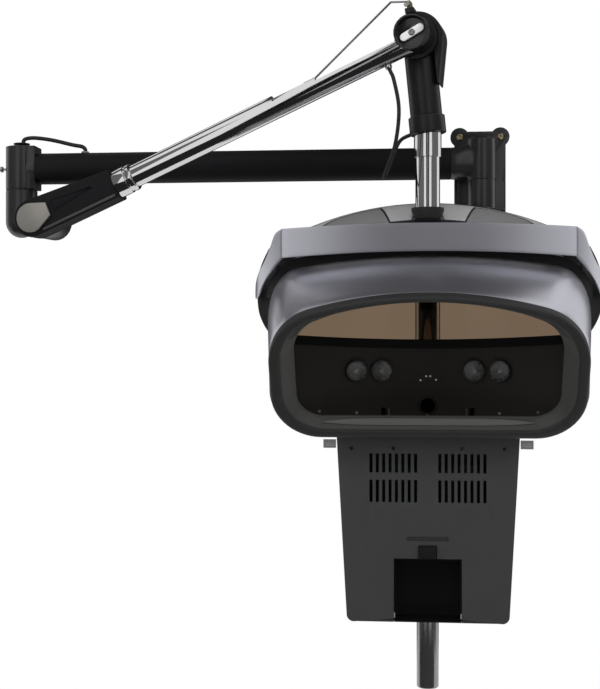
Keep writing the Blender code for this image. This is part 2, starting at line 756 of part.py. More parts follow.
def make_elbow(elbow):
    """Build the elbow's lower hub, its vertical pin and washer, and the arm's pivot pin."""
    washer_top = BOOM_Z - POST_BELOW - GAP - ARM_PIVOT_Z
    hub_top = washer_top - WASHER_THICKNESS - GAP
    boss_front = ARM_OFFSET - CASING_HALF_DEPTH - RUNNING
    dome = arc((0, 0), POST_RADIUS, 0, -pi / 2, 8)
    hub = turned_mesh("elbow_hub", [(0, hub_top), (POST_RADIUS, hub_top), *dome[:-1], (0, -POST_RADIUS)])
    hub = place("elbow_hub", hub, elbow, "black_paint")
    low = (ELBOW_LINK_START, ELBOW_LINK_SET_BACK - boss_front, -ELBOW_LINK_HALF)
    link = block_mesh("hub_link", low, (HUB_REACH, ELBOW_LINK_HALF, ELBOW_LINK_HALF))
    join(hub, place("hub_link_helper", link, elbow, None))
    boss = cylinder_mesh("hub_boss", ELBOW_BOSS_RADIUS, boss_front + ELBOW_BOSS_BACK)
    join(hub, place("hub_boss_helper", boss, elbow, None, (HUB_REACH, -boss_front, 0), Y_AXIS))
    bore = cylinder_mesh("elbow_pin_bore", ELBOW_PIN_RADIUS + GAP, hub_top * 2)
    cut(hub, place("elbow_pin_bore_cutter", bore, elbow, None, (0, 0, -GAP)))
    bore = cylinder_mesh("arm_pin_bore", ARM_PIN_RADIUS + GAP, boss_front + 2 * ELBOW_BOSS_BACK)
    bore_start = (HUB_REACH, -boss_front - ELBOW_BOSS_BACK / 2, 0)
    cut(hub, place("arm_pin_bore_cutter", bore, elbow, None, bore_start, Y_AXIS))

    pin_top = BOOM_Z + POST_ABOVE - ARM_PIVOT_Z
    pin = cylinder_mesh("elbow_pin", ELBOW_PIN_RADIUS, pin_top - GAP, SMALL_ROUND)
    place("elbow_pin", pin, elbow, "brushed_steel")
    washer = pipe_mesh("elbow_washer", POST_RADIUS - RUNNING, ELBOW_PIN_RADIUS + RUNNING, WASHER_THICKNESS)
    place("elbow_washer", washer, elbow, "rubber", (0, 0, washer_top - WASHER_THICKNESS))
    front = ARM_OFFSET + CASING_HALF_DEPTH
    pin = cylinder_mesh("arm_pivot_pin", ARM_PIN_RADIUS, front + ELBOW_BOSS_BACK, SMALL_ROUND)
    place("arm_pivot_pin", pin, elbow, "brushed_steel", (HUB_REACH, -front, 0), Y_AXIS)


def casing_outline():
    """Return the casing's side outline: round at the pivot, tapering to the collar."""
    high = CASING_END_HALF - ARM_TUBE_DROP
    low = -CASING_END_HALF - ARM_TUBE_DROP
    lean_high = tangent_angle(CASING_LENGTH, high, CASING_RADIUS)
    lean_low = -tangent_angle(CASING_LENGTH, -low, CASING_RADIUS)
    outline = arc((0, 0), CASING_RADIUS, lean_high, 2 * pi + lean_low, 20)
    return outline + [(CASING_LENGTH, low), (CASING_LENGTH, high)]


def tangent_angle(x, y, radius):
    """Return the angle on a circle about the origin where the upper tangent to a point touches."""
    distance = hypot(x, y)
    spread = atan2(sqrt(distance**2 - radius**2), radius)
    return atan2(y, x) + spread


def make_arm(arm):
    """Build the balanced arm: casing, pivot cap, collar, slotted tube, spring and cable gland."""
    flat = (pi / 2, 0, 0)
    mesh = plate_mesh("arm_casing", casing_outline(), 2 * CASING_HALF_DEPTH)
    casing = place("arm_casing", mesh, arm, "black_paint", (0, 0, 0), flat)
    round_edges(casing, CASING_CORNER)
    bore = cylinder_mesh("casing_bore", ARM_PIN_RADIUS + RUNNING, 4 * CASING_HALF_DEPTH)
    cut(casing, place("casing_bore_cutter", bore, arm, None, (0, -2 * CASING_HALF_DEPTH, 0), Y_AXIS))
    tube_start = CASING_LENGTH - CASING_SOCKET
    bore = cylinder_mesh("casing_socket", ARM_TUBE_RADIUS + GAP, 2 * CASING_SOCKET)
    socket_start = (tube_start - GAP, 0, -ARM_TUBE_DROP)
    cut(casing, place("casing_socket_cutter", bore, arm, None, socket_start, X_AXIS))

    start = tangent_angle(CAP_TIP_X, CAP_TIP_HIGH, CAP_RADIUS)
    end = 2 * pi - tangent_angle(CAP_TIP_X, -CAP_TIP_LOW, CAP_RADIUS)
    outline = arc((0, 0), CAP_RADIUS, start, end, 20)
    outline += [(CAP_TIP_X, CAP_TIP_LOW), (CAP_TIP_X, CAP_TIP_HIGH)]
    cap = plate_mesh("pivot_cap", outline, CAP_THICKNESS)
    cap_y = -CASING_HALF_DEPTH - GAP - CAP_THICKNESS / 2
    cap = place("pivot_cap", cap, arm, "brushed_steel", (0, cap_y, 0), (pi / 2, 0, 0))
    round_edges(cap, CAP_THICKNESS / 4)

    bore = ARM_TUBE_RADIUS + GAP
    collar = turned_mesh(
        "arm_collar",
        [(COLLAR_RADIUS - COLLAR_EDGE, COLLAR_LENGTH), (COLLAR_RADIUS, COLLAR_LENGTH - COLLAR_EDGE_LENGTH),
         (COLLAR_RADIUS, 0), (bore, 0), (bore, COLLAR_LENGTH)], closed=True)
    place("arm_collar", collar, arm, "chrome", (CASING_LENGTH + GAP, 0, -ARM_TUBE_DROP), X_AXIS)

    tube_end = ARM_LENGTH
    inner = ARM_TUBE_RADIUS - ARM_TUBE_WALL
    tube = pipe_mesh("arm_tube", ARM_TUBE_RADIUS, inner, tube_end - tube_start)
    tube = place("arm_tube", tube, arm, "chrome", (tube_start, 0, -ARM_TUBE_DROP), X_AXIS)
    level = TROUGH_LEVEL - ARM_TUBE_DROP
    low = (TROUGH_START, -2 * ARM_TUBE_RADIUS, level)
    high = (tube_end + ARM_TUBE_RADIUS, 2 * ARM_TUBE_RADIUS, 2 * ARM_TUBE_RADIUS)
    cut(tube, place("trough_cutter", block_mesh("trough", low, high), arm, None))
    cutter = cylinder_mesh("ring_saddle", RING_RADIUS + GAP, 4 * ARM_TUBE_RADIUS)
    cut(tube, place("ring_saddle_cutter", cutter, arm, None, (ARM_LENGTH, -2 * ARM_TUBE_RADIUS, 0), Y_AXIS))
    make_spring(arm, tube_start)

    underside = -ARM_TUBE_DROP - ARM_TUBE_RADIUS
    mouth = CABLE_RADIUS * CORD_MOUTH
    gland = turned_mesh(
        "cable_gland",
        [(GLAND_RADIUS, 0), (GLAND_RADIUS, -GLAND_STRAIGHT), (GLAND_NOSE, -GLAND_LENGTH),
         (mouth, -GLAND_LENGTH), (mouth, 0)], SMALL_ROUND, closed=True)
    place("cable_gland", gland, arm, "chrome", (GLAND_X, 0, underside - GAP))


def make_spring(arm, tube_start):
    """Build the balance spring inside the arm tube, from the casing end to the slider."""
    start = tube_start + SPRING_WIRE + GAP
    end = SLIDER_INNER - SPRING_WIRE - GAP
    per_turn = 8
    count = SPRING_TURNS * per_turn
    route = []
    for k in range(count + 1):
        angle = 2 * pi * k / per_turn
        x = start + (end - start) * k / count
        route.append((x, SPRING_RADIUS * cos(angle), SPRING_RADIUS * sin(angle)))
    nearest = min((Vector(p) - Vector(q)).length for p, q in zip(route, route[per_turn:]))
    print("balance spring, least gap between turns in mm:", round((nearest - 2 * SPRING_WIRE) * 1000, 2))
    spring = cable_mesh("balance_spring", route, SPRING_WIRE, 0)
    place("balance_spring", spring, arm, "brushed_steel", (0, 0, -ARM_TUBE_DROP))


def make_strap(arm):
    """Build the slider in the arm's trough and the bent strap that pulls the knuckle level."""
    low = (SLIDER_INNER, -SLIDER_HALF_WIDTH, SLIDER_LOW - ARM_TUBE_DROP)
    high = (SLIDER_OUTER, SLIDER_HALF_WIDTH, SLIDER_HIGH - ARM_TUBE_DROP)
    place("strap_slider", block_mesh("strap_slider", low, high), arm, "brushed_steel")

    top = SLIDER_HIGH - ARM_TUBE_DROP + GAP
    foot_end = SLIDER_OUTER - GAP
    rise = atan2(STRAP_APEX_Z - top, STRAP_APEX_X - foot_end)
    fall = atan2(STRAP_END_Z - STRAP_APEX_Z, STRAP_END_X - STRAP_APEX_X)
    line = [(foot_end - STRAP_FOOT, top), (foot_end, top)]
    line += [(STRAP_APEX_X, STRAP_APEX_Z), (STRAP_END_X, STRAP_END_Z)]
    upper = [(foot_end - STRAP_FOOT, top + STRAP_THICKNESS)]
    upper.append((foot_end - STRAP_THICKNESS * tan(rise / 2), top + STRAP_THICKNESS))
    bend = (rise + fall) / 2
    depth = STRAP_THICKNESS / cos((rise - fall) / 2)
    upper.append((STRAP_APEX_X - depth * sin(bend), STRAP_APEX_Z + depth * cos(bend)))
    upper.append((STRAP_END_X - STRAP_THICKNESS * sin(fall), STRAP_END_Z + STRAP_THICKNESS * cos(fall)))
    outline = line + upper[::-1]
    mesh = plate_mesh("tension_strap", outline, 2 * STRAP_HALF_WIDTH)
    strap = place("tension_strap", mesh, arm, "brushed_steel", (0, 0, 0), (pi / 2, 0, 0))
    low = (STRAP_END_X - STRAP_TAB, -STRAP_HALF_WIDTH, STRAP_END_Z - STRAP_TAB / 2)
    high = (STRAP_END_X, -STRAP_HALF_WIDTH + STRAP_THICKNESS, STRAP_END_Z + STRAP_THICKNESS / 2)
    join(strap, place("strap_tab_helper", block_mesh("strap_tab", low, high), arm, None))


def make_arm_end(arm):
    """Build the ring housing at the arm's far end."""
    depth = RING_FRONT + RING_BACK
    bore = KNUCKLE_PIN_RADIUS + RUNNING
    ring = turned_mesh(
        "arm_end_ring",
        [(RING_RADIUS, depth), (RING_RADIUS, 0), (RING_BORE, 0), (RING_BORE, RING_RECESS),
         (bore, RING_RECESS), (bore, depth)], closed=True)
    place("arm_end_ring", ring, arm, "black_gloss", (ARM_LENGTH, -RING_FRONT, 0), Y_AXIS)


def make_knuckle(knuckle):
    """Build the knuckle: housing, hook cover, pin, lever, lug, stem and stem collar."""
    housing = cylinder_mesh("knuckle_housing", KNUCKLE_RADIUS, 2 * KNUCKLE_HALF_DEPTH)
    housing = place("knuckle_housing", housing, knuckle, "black_paint", (0, -KNUCKLE_HALF_DEPTH, 0), Y_AXIS)
    bore = cylinder_mesh("knuckle_bore", KNUCKLE_PIN_RADIUS + GAP, 4 * KNUCKLE_HALF_DEPTH, SMALL_ROUND)
    cut(housing, place("knuckle_bore_cutter", bore, knuckle, None, (0, -2 * KNUCKLE_HALF_DEPTH, 0), Y_AXIS))

    front = ARM_OFFSET + RING_FRONT - RING_RECESS
    pin = cylinder_mesh("knuckle_pin", KNUCKLE_PIN_RADIUS, front + KNUCKLE_HALF_DEPTH, SMALL_ROUND)
    place("knuckle_pin", pin, knuckle, "brushed_steel", (0, -front, 0), Y_AXIS)
    lever_y = -ARM_OFFSET - RING_FRONT + RING_RECESS - RUNNING - LEVER_THICKNESS / 2
    half = LEVER_LENGTH / 2
    outline = arc((half - LEVER_HALF_WIDTH, 0), LEVER_HALF_WIDTH, -pi / 2, pi / 2, 6)
    outline += arc((LEVER_HALF_WIDTH - half, 0), LEVER_HALF_WIDTH, pi / 2, 3 * pi / 2, 6)
    lever = plate_mesh("level_lever", outline, LEVER_THICKNESS)
    place("level_lever", lever, knuckle, "chrome", (0, lever_y, 0), (pi / 2, -LEVER_ANGLE, 0))

    outer = KNUCKLE_RADIUS + COVER_THICKNESS
    inner = KNUCKLE_RADIUS + GAP
    side = STEM_RADIUS + GAP
    meet = -atan2(sqrt(inner**2 - side**2), side)
    outline = arc((0, 0), outer, COVER_START, COVER_TURN, 16)
    outline += [(side + COVER_THICKNESS / 4, -COVER_TAIL), (side, -COVER_TAIL)]
    outline += arc((0, 0), inner, meet, COVER_START, 16)
    cover = plate_mesh("knuckle_cover", outline, 2 * COVER_HALF_DEPTH)
    cover = place("knuckle_cover", cover, knuckle, "black_gloss", (0, 0, 0), (pi / 2, 0, 0))
    round_edges(cover, COVER_THICKNESS / 5)

    low = (-LUG_HALF_WIDTH, -ARM_OFFSET - STRAP_HALF_WIDTH, LUG_RADIUS)
    high = (LUG_HALF_WIDTH, -KNUCKLE_HALF_DEPTH - GAP, LUG_RADIUS + LUG_HEIGHT)
    lug = block_mesh("strap_lug", low, high)
    place("strap_lug", lug, knuckle, "black_paint", (0, 0, 0), (0, pi / 2 - LUG_ANGLE, 0))

    stem = pipe_mesh("stem_tube", STEM_RADIUS, STEM_RADIUS - STEM_WALL, STEM_END)
    stem = place("stem_tube", stem, knuckle, "black_paint", (0, 0, -STEM_END))
    cutter = cylinder_mesh("stem_saddle", KNUCKLE_RADIUS + GAP, 4 * KNUCKLE_HALF_DEPTH)
    cut(stem, place("stem_saddle_cutter", cutter, knuckle, None, (0, -2 * KNUCKLE_HALF_DEPTH, 0), Y_AXIS))
    collar = cylinder_mesh("stem_collar", STEM_COLLAR_RADIUS, STEM_COLLAR_HEIGHT)
    bottom = -STEM_END - GAP - STEM_COLLAR_HEIGHT
    collar = place("stem_collar", collar, knuckle, "black_paint", (0, 0, bottom))
    return collar


def make_pole(hanger, collar):
    """Build the sleeve held in the stem's collar, and the pole that turns in it."""
    bore = POLE_RADIUS + RUNNING
    lip = -SLEEVE_BOTTOM + SLEEVE_LIP
    sleeve = turned_mesh(
        "pole_sleeve",
        [(SLEEVE_RADIUS, SLEEVE_TOP), (SLEEVE_RADIUS, -SLEEVE_BOTTOM), (bore, -SLEEVE_BOTTOM), (bore, lip),
         (SLEEVE_BORE, lip), (SLEEVE_BORE, SLEEVE_TOP)], closed=True)
    place("pole_sleeve", sleeve, hanger, "chrome")
    seat = cylinder_mesh("sleeve_seat", SLEEVE_RADIUS + GAP, SLEEVE_TOP + GAP + SLEEVE_BOTTOM)
    cut(collar, place("sleeve_seat_cutter", seat, hanger, None, (0, 0, -SLEEVE_BOTTOM)))

    inner = POLE_RADIUS - POLE_WALL
    head = lip + RUNNING
    end = -UNIT_DROP - POLE_END
    pole = turned_mesh(
        "pole",
        [(POLE_HEAD_RADIUS, head + POLE_HEAD_HEIGHT), (POLE_HEAD_RADIUS, head), (POLE_RADIUS, head),
         (POLE_RADIUS, end), (inner, end), (inner, head + POLE_HEAD_HEIGHT)], closed=True)
    place("pole", pole, hanger, "chrome")
    tip = -UNIT_DROP - POLE_TIP
    spigot = inner - GAP
    grip = turned_mesh(
        "pole_tip",
        [(0, end + TIP_SPIGOT), (spigot, end + TIP_SPIGOT), (spigot, end - GAP), (POLE_RADIUS, end - GAP),
         (POLE_RADIUS, tip + POLE_WALL), (POLE_RADIUS - POLE_WALL, tip), (0, tip)])
    place("pole_tip", grip, hanger, "dark_grey")


def make_service_cable(arm, hanger):
    """Build the hanging loop of cable from the arm's gland to the rear of the stem collar."""
    bpy.context.view_layer.update()
    underside = -ARM_TUBE_DROP - ARM_TUBE_RADIUS - 2 * GAP - GLAND_LENGTH
    to_hanger = hanger.matrix_world.inverted() @ arm.matrix_world
    start = to_hanger @ Vector((GLAND_X, 0, underside))
    straight = to_hanger @ Vector((GLAND_X, 0, underside - GLAND_RADIUS))
    route = [start, straight, *[Vector(point) for point in CABLE_ROUTE]]
    last = Vector((-(STEM_COLLAR_RADIUS + CABLE_END_CLEAR) * CABLE_END_SIDE, CABLE_END_BACK, CABLE_END_Z))
    route.append(last)
    cable = cable_mesh("service_cable", curve_through(route, 4), CABLE_RADIUS)
    place("service_cable", cable, hanger, "rubber")


def mouth_outline(half, low, high, arch, low_corner, high_corner):
    """Return the mouth's outline (x, t): flat sill, and rounded corners that run into an arched top."""
    radius = (half**2 + arch**2) / (2 * arch)
    centre = high - radius
    rise = sqrt((radius - high_corner) ** 2 - (half - high_corner) ** 2)
    turn = atan2(rise, half - high_corner)
    right = arc((half - low_corner, low + low_corner), low_corner, -pi / 2, 0, 5)
    right += arc((half - high_corner, centre + rise), high_corner, 0, turn, 5)
    top = arc((0, centre), radius, turn, pi - turn, 8)[1:-1]
    left = [(-x, t) for x, t in reversed(right)]
    return right + top + left


def mouth_loop(inset_side, inset_low, inset_high, depth):
    """Return a loop of the mouth's outline, drawn in and set back from the mouth's plane."""
    outline = mouth_outline(MOUTH_HALF - inset_side, inset_low, MOUTH_HEIGHT - inset_high, MOUTH_ARCH,
                            MOUTH_LOW_CORNER - inset_low / 2, MOUTH_HIGH_CORNER - inset_side)
    loop = []
    for x, t in outline:
        y = MOUTH_BOTTOM_Y - t * sin(MOUTH_TILT) + depth * cos(MOUTH_TILT)
        z = MOUTH_BOTTOM_Z + t * cos(MOUTH_TILT) + depth * sin(MOUTH_TILT)
        loop.append((x, y, z))
    return loop


def hood_back_loop(inset):
    """Return the hood's rear loop, in an upright plane."""
    outline = mouth_outline(HOOD_BACK_HALF - inset, HOOD_BACK_BOTTOM + inset, HOOD_BACK_TOP - inset,
                            HOOD_BACK_ARCH, HOOD_BACK_LOW_CORNER, HOOD_BACK_CORNER - inset)
    return [(x, HOOD_BACK_Y, z) for x, z in outline]


def between(first, second, share):
    """Return a loop part of the way between two loops, with the hood's bulge to either side."""
    loop = []
    for near, far in zip(first, second):
        x, y, z = (a + (b - a) * share for a, b in zip(near, far))
        loop.append((x * (1 + HOOD_BULGE / MOUTH_HALF * sin(share * pi)), y, z))
    return loop


def make_hood(unit):
    """Build the mouth ring and the front hood behind it."""
    rim = [
        mouth_loop(RIM_EDGE, RIM_EDGE, RIM_EDGE, -RIM_EDGE),
        mouth_loop(0, 0, 0, 0),
        mouth_loop(0, 0, 0, RIM_DEPTH / 2),
        mouth_loop(2 * HOOD_WALL, 2 * HOOD_WALL, 2 * HOOD_WALL, RIM_DEPTH / 2),
        mouth_loop(RIM_SIDE, RIM_BOTTOM, RIM_TOP, RIM_DEPTH / 2 + HOOD_WALL),
        mouth_loop(RIM_SIDE, RIM_BOTTOM, RIM_TOP, RIM_DEPTH / 2),
        mouth_loop(RIM_LAND_SIDE, RIM_LAND_SIDE, RIM_LAND_TOP, -RIM_EDGE),
    ]
    place("mouth_ring", loft_mesh("mouth_ring", rim, capped=False), unit, "dark_grey")

    start = RIM_DEPTH / 2 + GAP
    front_out = mouth_loop(0, 0, 0, start)
    front_in = mouth_loop(HOOD_WALL, HOOD_WALL, HOOD_WALL, start)
    back_out = hood_back_loop(0)
    back_in = hood_back_loop(HOOD_WALL)
    steps = 4
    loops = [between(front_out, back_out, k / steps) for k in range(steps + 1)]
    loops += [between(back_in, front_in, k / steps) for k in range(steps + 1)]
    place("front_hood", loft_mesh("front_hood", loops, capped=False), unit, "silver_paint")


def make_band(unit):
    """Build the outer band: a curved front with two wings that sweep back and down."""
    columns = []
    wing_steps = 7
    for k in range(wing_steps, 0, -1):
        columns.append(wing_column(-1, k / wing_steps))
    front_steps = 10
    for k in range(front_steps + 1):
        share = 2 * k / front_steps - 1
        y = BAND_Y + BAND_SAG * share**2
        columns.append((BAND_CREASE * share, y, BAND_BOTTOM - BAND_BOTTOM_DROP * share**2,
                        BAND_TOP - BAND_TOP_DROP * share**2))
    for k in range(1, wing_steps + 1):
        columns.append(wing_column(1, k / wing_steps))
    rows = []
    row_steps = 6
    for r in range(row_steps + 1):
        share = r / row_steps
        row = []
        for x, y, low, high in columns:
            z = low + (high - low) * share
            row.append((x * (1 - wing_tuck(z) / WING_X), y, z))
        rows.append(row)
    place("outer_band", sheet_mesh("outer_band", rows, BAND_WALL), unit, "silver_paint")


def wing_tuck(z):
    """Return how far a wing is drawn in at its lower end."""
    return WING_TUCK * max(0, (WING_TUCK_Z - z) / (WING_TUCK_Z - WING_TIP)) ** 2


def wing_column(side, share):
    """Return a wing column: its place, and its lower and upper ends."""
    x = BAND_CREASE + (WING_X - BAND_CREASE) * sin(share * pi / 2)
    y = BAND_Y + BAND_SAG + WING_DEPTH * share
    crease_low = BAND_BOTTOM - BAND_BOTTOM_DROP
    crease_high = BAND_TOP - BAND_TOP_DROP
    if share <= WING_TIP_SHARE:
        low = crease_low + (WING_TIP - crease_low) * eased(share / WING_TIP_SHARE)
    else:
        past = (share - WING_TIP_SHARE) / (1 - WING_TIP_SHARE)
        low = WING_TIP + (WING_SHOULDER - WING_END - WING_TIP) * (1 - sqrt(max(0.0, 1 - past**2)))
    high = crease_high + (WING_SHOULDER - crease_high) * share**WING_SWEEP
    return side * x, y, low, high


def cover_height(y):
    """Return the top cover's height on its centre line."""
    if y <= 0:
        return COVER_FRONT_Z + (COVER_LEDGE_Z - COVER_FRONT_Z) * (y - COVER_FRONT_Y) / -COVER_FRONT_Y
    if y <= COVER_CREST_Y:
        share = y / COVER_CREST_Y
        return COVER_LEDGE_Z + (COVER_CREST_Z - COVER_LEDGE_Z) * sin(share * pi / 2)
    share = (y - COVER_CREST_Y) / (COVER_BACK_Y - COVER_CREST_Y)
    return COVER_BACK_Z + (COVER_CREST_Z - COVER_BACK_Z) * sqrt(max(0.0, 1 - share**2))


def make_top(unit):
    """Build the crowned top cover and the rubber boot round the pole."""
    places = [COVER_FRONT_Y + (0 - COVER_FRONT_Y) * k / 4 for k in range(4)]
    places += [COVER_CREST_Y * k / 4 for k in range(4)]
    places += [COVER_CREST_Y + (COVER_BACK_Y - COVER_CREST_Y) * sin(k / 5 * pi / 2) for k in range(6)]
    rows = []
    steps = 16
    for y in places:
        row = []
        half = COVER_FRONT_HALF + (COVER_HALF - COVER_FRONT_HALF) * eased((y - COVER_FRONT_Y) / WING_DEPTH)
        for k in range(steps + 1):
            x = half * (2 * k / steps - 1)
            drop = COVER_CROWN_RADIUS - sqrt(COVER_CROWN_RADIUS**2 - x**2)
            band_back = BAND_Y + BAND_SAG * (x / BAND_CREASE) ** 2 + BAND_WALL / 2 + RUNNING
            forward = (band_back - COVER_FRONT_Y) * max(y / COVER_FRONT_Y, 0)
            flat = COVER_FRONT_FLAT * max(y / COVER_FRONT_Y, 0)
            row.append((x, y + forward, cover_height(y) - drop * (1 - flat)))
        rows.append(row)
    cover = place("top_cover", sheet_mesh("top_cover", rows, COVER_WALL), unit, "pale_grey")
    hole = cylinder_mesh("pole_hole", POLE_RADIUS + RUNNING, 4 * BOOT_HEIGHT)
    cut(cover, place("pole_hole_cutter", hole, unit, None, (0, 0, COVER_LEDGE_Z - 2 * BOOT_HEIGHT)))
    low = COVER_LEDGE_Z + COVER_WALL
    seat = cylinder_mesh("boot_seat", BOOT_TOP_RADIUS + 2 * GAP, 2 * BOOT_HEIGHT)
    cut(cover, place("boot_seat_cutter", seat, unit, None, (0, 0, low)))
    boot = turned_mesh(
        "pole_boot",
        [(BOOT_TOP_RADIUS, BOOT_HEIGHT), (BOOT_TOP_RADIUS, BOOT_HEIGHT - BOOT_RIM), (BOOT_FOOT_RADIUS, 0),
         (POLE_RADIUS + GAP, 0), (POLE_RADIUS + GAP, BOOT_HEIGHT)], closed=True)
    place("pole_boot", boot, unit, "rubber", (0, 0, low + GAP))


def liner_depth(x):
    """Return how far forward the concave rear wall stands at x."""
    return LINER_Y - LINER_BEND * (abs(x) / LINER_HALF) ** LINER_BEND_POWER


def liner_top(x):
    """Return the height of the lamp wall's upper edge at x."""
    return LINER_TOP + LINER_TOP_RISE * (x / LINER_HALF) ** 2


def wall_rows(low_half, high_half, shares, low, high):
    """Return rows of a concave wall whose half-width and height change from row to row."""
    steps = 16
    rows = []
    for share in shares:
        row = []
        for k in range(steps + 1):
            side = 2 * k / steps - 1
            x = side * (low_half + (high_half - low_half) * share)
            place_x = side * LINER_HALF
            bottom = low(place_x)
            row.append((x, liner_depth(place_x), bottom + (high(place_x) - bottom) * share))
        rows.append(row)
    return rows


def make_liner(unit):
    """Build the dark cavity wall with its floor, the amber window above it and the strip between."""
    start = LINER_FLOOR + LINER_FILLET
    rows = wall_rows(LINER_HALF, WINDOW_HALF, LINER_ROW_SHARES, lambda x: start, liner_top)
    foot = rows[-1]
    half_turn = pi / 4
    forward = LINER_FILLET * (1 - cos(half_turn))
    down = LINER_FILLET * sin(half_turn)
    rows.append([(x, y - forward, z - down) for x, y, z in foot])
    rows.append([(x, y - LINER_FILLET, z - LINER_FILLET) for x, y, z in foot])
    rows.append([(x, min(LINER_FRONT_Y, y - 2 * LINER_FILLET), z - LINER_FILLET) for x, y, z in foot])
    liner = place("cavity_liner", sheet_mesh("cavity_liner", rows, LINER_WALL), unit, "liner_black")
    hole = cylinder_mesh("outlet_hole", OUTLET_RADIUS + GAP, 2 * OUTLET_LENGTH)
    hole_start = (0, LINER_Y - OUTLET_LENGTH, OUTLET_Z)
    cut(liner, place("outlet_hole_cutter", hole, unit, None, hole_start, Y_AXIS))

    rows = wall_rows(WINDOW_HALF, WINDOW_HALF, (0.0, 0.5, 1.0), lambda x: liner_top(x) + 2 * GAP,
                     lambda x: liner_top(x) + 2 * GAP + GASKET_HEIGHT)
    place("window_gasket", sheet_mesh("window_gasket", rows, GASKET_THICKNESS), unit, "rubber")
    rows = wall_rows(WINDOW_HALF, WINDOW_TOP_HALF, (0.0, 0.5, 1.0),
                     lambda x: liner_top(x) + 4 * GAP + GASKET_HEIGHT,
                     lambda x: WINDOW_TOP - WINDOW_SAG * (x / LINER_HALF) ** 2)
    place("amber_window", sheet_mesh("amber_window", rows, WINDOW_WALL), unit, "amber")


def make_rear_cover(unit):
    """Build the bowl that closes the hood behind the lamp wall."""
    loops = [rear_loop(0, True), rear_loop(0, False)]
    loops += [rear_loop(LINER_WALL, False), rear_loop(LINER_WALL, True)]
    cover = place("hood_rear_cover", loft_mesh("hood_rear_cover", loops, capped=True), unit, "dark_grey")
    hole = cylinder_mesh("rear_pole_hole", POLE_RADIUS + RUNNING, -3 * BODY_TOP)
    cut(cover, place("rear_pole_cutter", hole, unit, None, (0, 0, 2 * BODY_TOP)))


def rear_loop(inset, rear):
    """Return a loop of the rear cover: along the lamp wall's back, or at the cover's flat rear."""
    steps = 12
    half = (HOOD_REAR_HALF if rear else HOOD_REAR_FRONT_HALF) - inset
    upper = []
    lower = []
    for k in range(steps + 1):
        side = 2 * k / steps - 1
        x = side * half
        y = HOOD_REAR_Y - inset if rear else liner_depth(side * HOOD_REAR_FRONT_HALF) + REAR_BEHIND
        lift = REAR_LIFT * eased((abs(x) - BODY_TOP_HALF + REAR_LIFT) / (HOOD_REAR_HALF - BODY_TOP_HALF))
        upper.append((x, y, LINER_TOP - LINER_WALL - inset))
        lower.append((x, y, BODY_TOP + GAP + lift + inset))
    return upper + lower[::-1]


def make_lamps(unit):
    """Build the four lamps and the mist outlet in the cavity wall."""
    front = -LINER_WALL / 2 - GAP
    inner = LAMP_RADIUS - LAMP_LIP
    lamp = turned_mesh(
        "lamp",
        [(0, LENS_CROWN), (inner * LENS_SHOULDER_SHARE, LENS_SHOULDER), (inner, LENS_EDGE),
         (inner, LAMP_DEPTH), (LAMP_RADIUS, LAMP_DEPTH), (LAMP_RADIUS, 0), (0, 0)])
    share = (LAMP_Z - LINER_FLOOR) / (LINER_TOP - LINER_FLOOR)
    narrow = LINER_HALF / (LINER_HALF + (WINDOW_HALF - LINER_HALF) * share)
    for k, x in enumerate((-LAMP_OUTER_X, -LAMP_INNER_X, LAMP_INNER_X, LAMP_OUTER_X), 1):
        outer = liner_depth((abs(x) + LAMP_RADIUS) * narrow)
        inner_side = liner_depth((abs(x) - LAMP_RADIUS) * narrow)
        lean = atan2(outer - inner_side, 2 * LAMP_RADIUS) * (1 if x > 0 else -1)
        seat = (x, (outer + inner_side) / 2 + front * LAMP_SEAT, LAMP_Z)
        place(f"lamp_{k}", lamp, unit, "lens", seat, (pi / 2, 0, lean))

    bore = OUTLET_RADIUS - OUTLET_WALL
    outlet = turned_mesh(
        "mist_outlet",
        [(OUTLET_FLANGE, LAMP_LIP), (OUTLET_FLANGE, 0), (OUTLET_RADIUS, 0), (OUTLET_RADIUS, -OUTLET_LENGTH),
         (bore, -OUTLET_LENGTH), (bore, LAMP_LIP)], SMALL_ROUND, closed=True)
    place("mist_outlet", outlet, unit, "liner_black", (0, LINER_Y + front, OUTLET_Z), (pi / 2, 0, 0))


def body_outline(inset, top, bottom, arch=0.0):
    """Return the body's front outline: wide at the top, rounded at the lower corners."""
    slope = (BODY_TOP_HALF - BODY_BOTTOM_HALF) / (BODY_TOP - BODY_BOTTOM)
    half_top = BODY_BOTTOM_HALF + slope * (top - BODY_BOTTOM) - inset
    half_low = BODY_BOTTOM_HALF + slope * (bottom - BODY_BOTTOM) - inset
    corner = BODY_CORNER - inset / 2
    right = arc((half_low - corner, bottom + corner), corner, -pi / 2, 0, 4)
    left = [(-x, z) for x, z in reversed(right)]
    sill = []
    if arch:
        flat = half_low - corner
        sill = [(flat * (k / 2 - 1), bottom + arch * sin(k * pi / 4)) for k in (1, 2, 3)]
    return left + sill + right + [(half_top, top), (-half_top, top)]


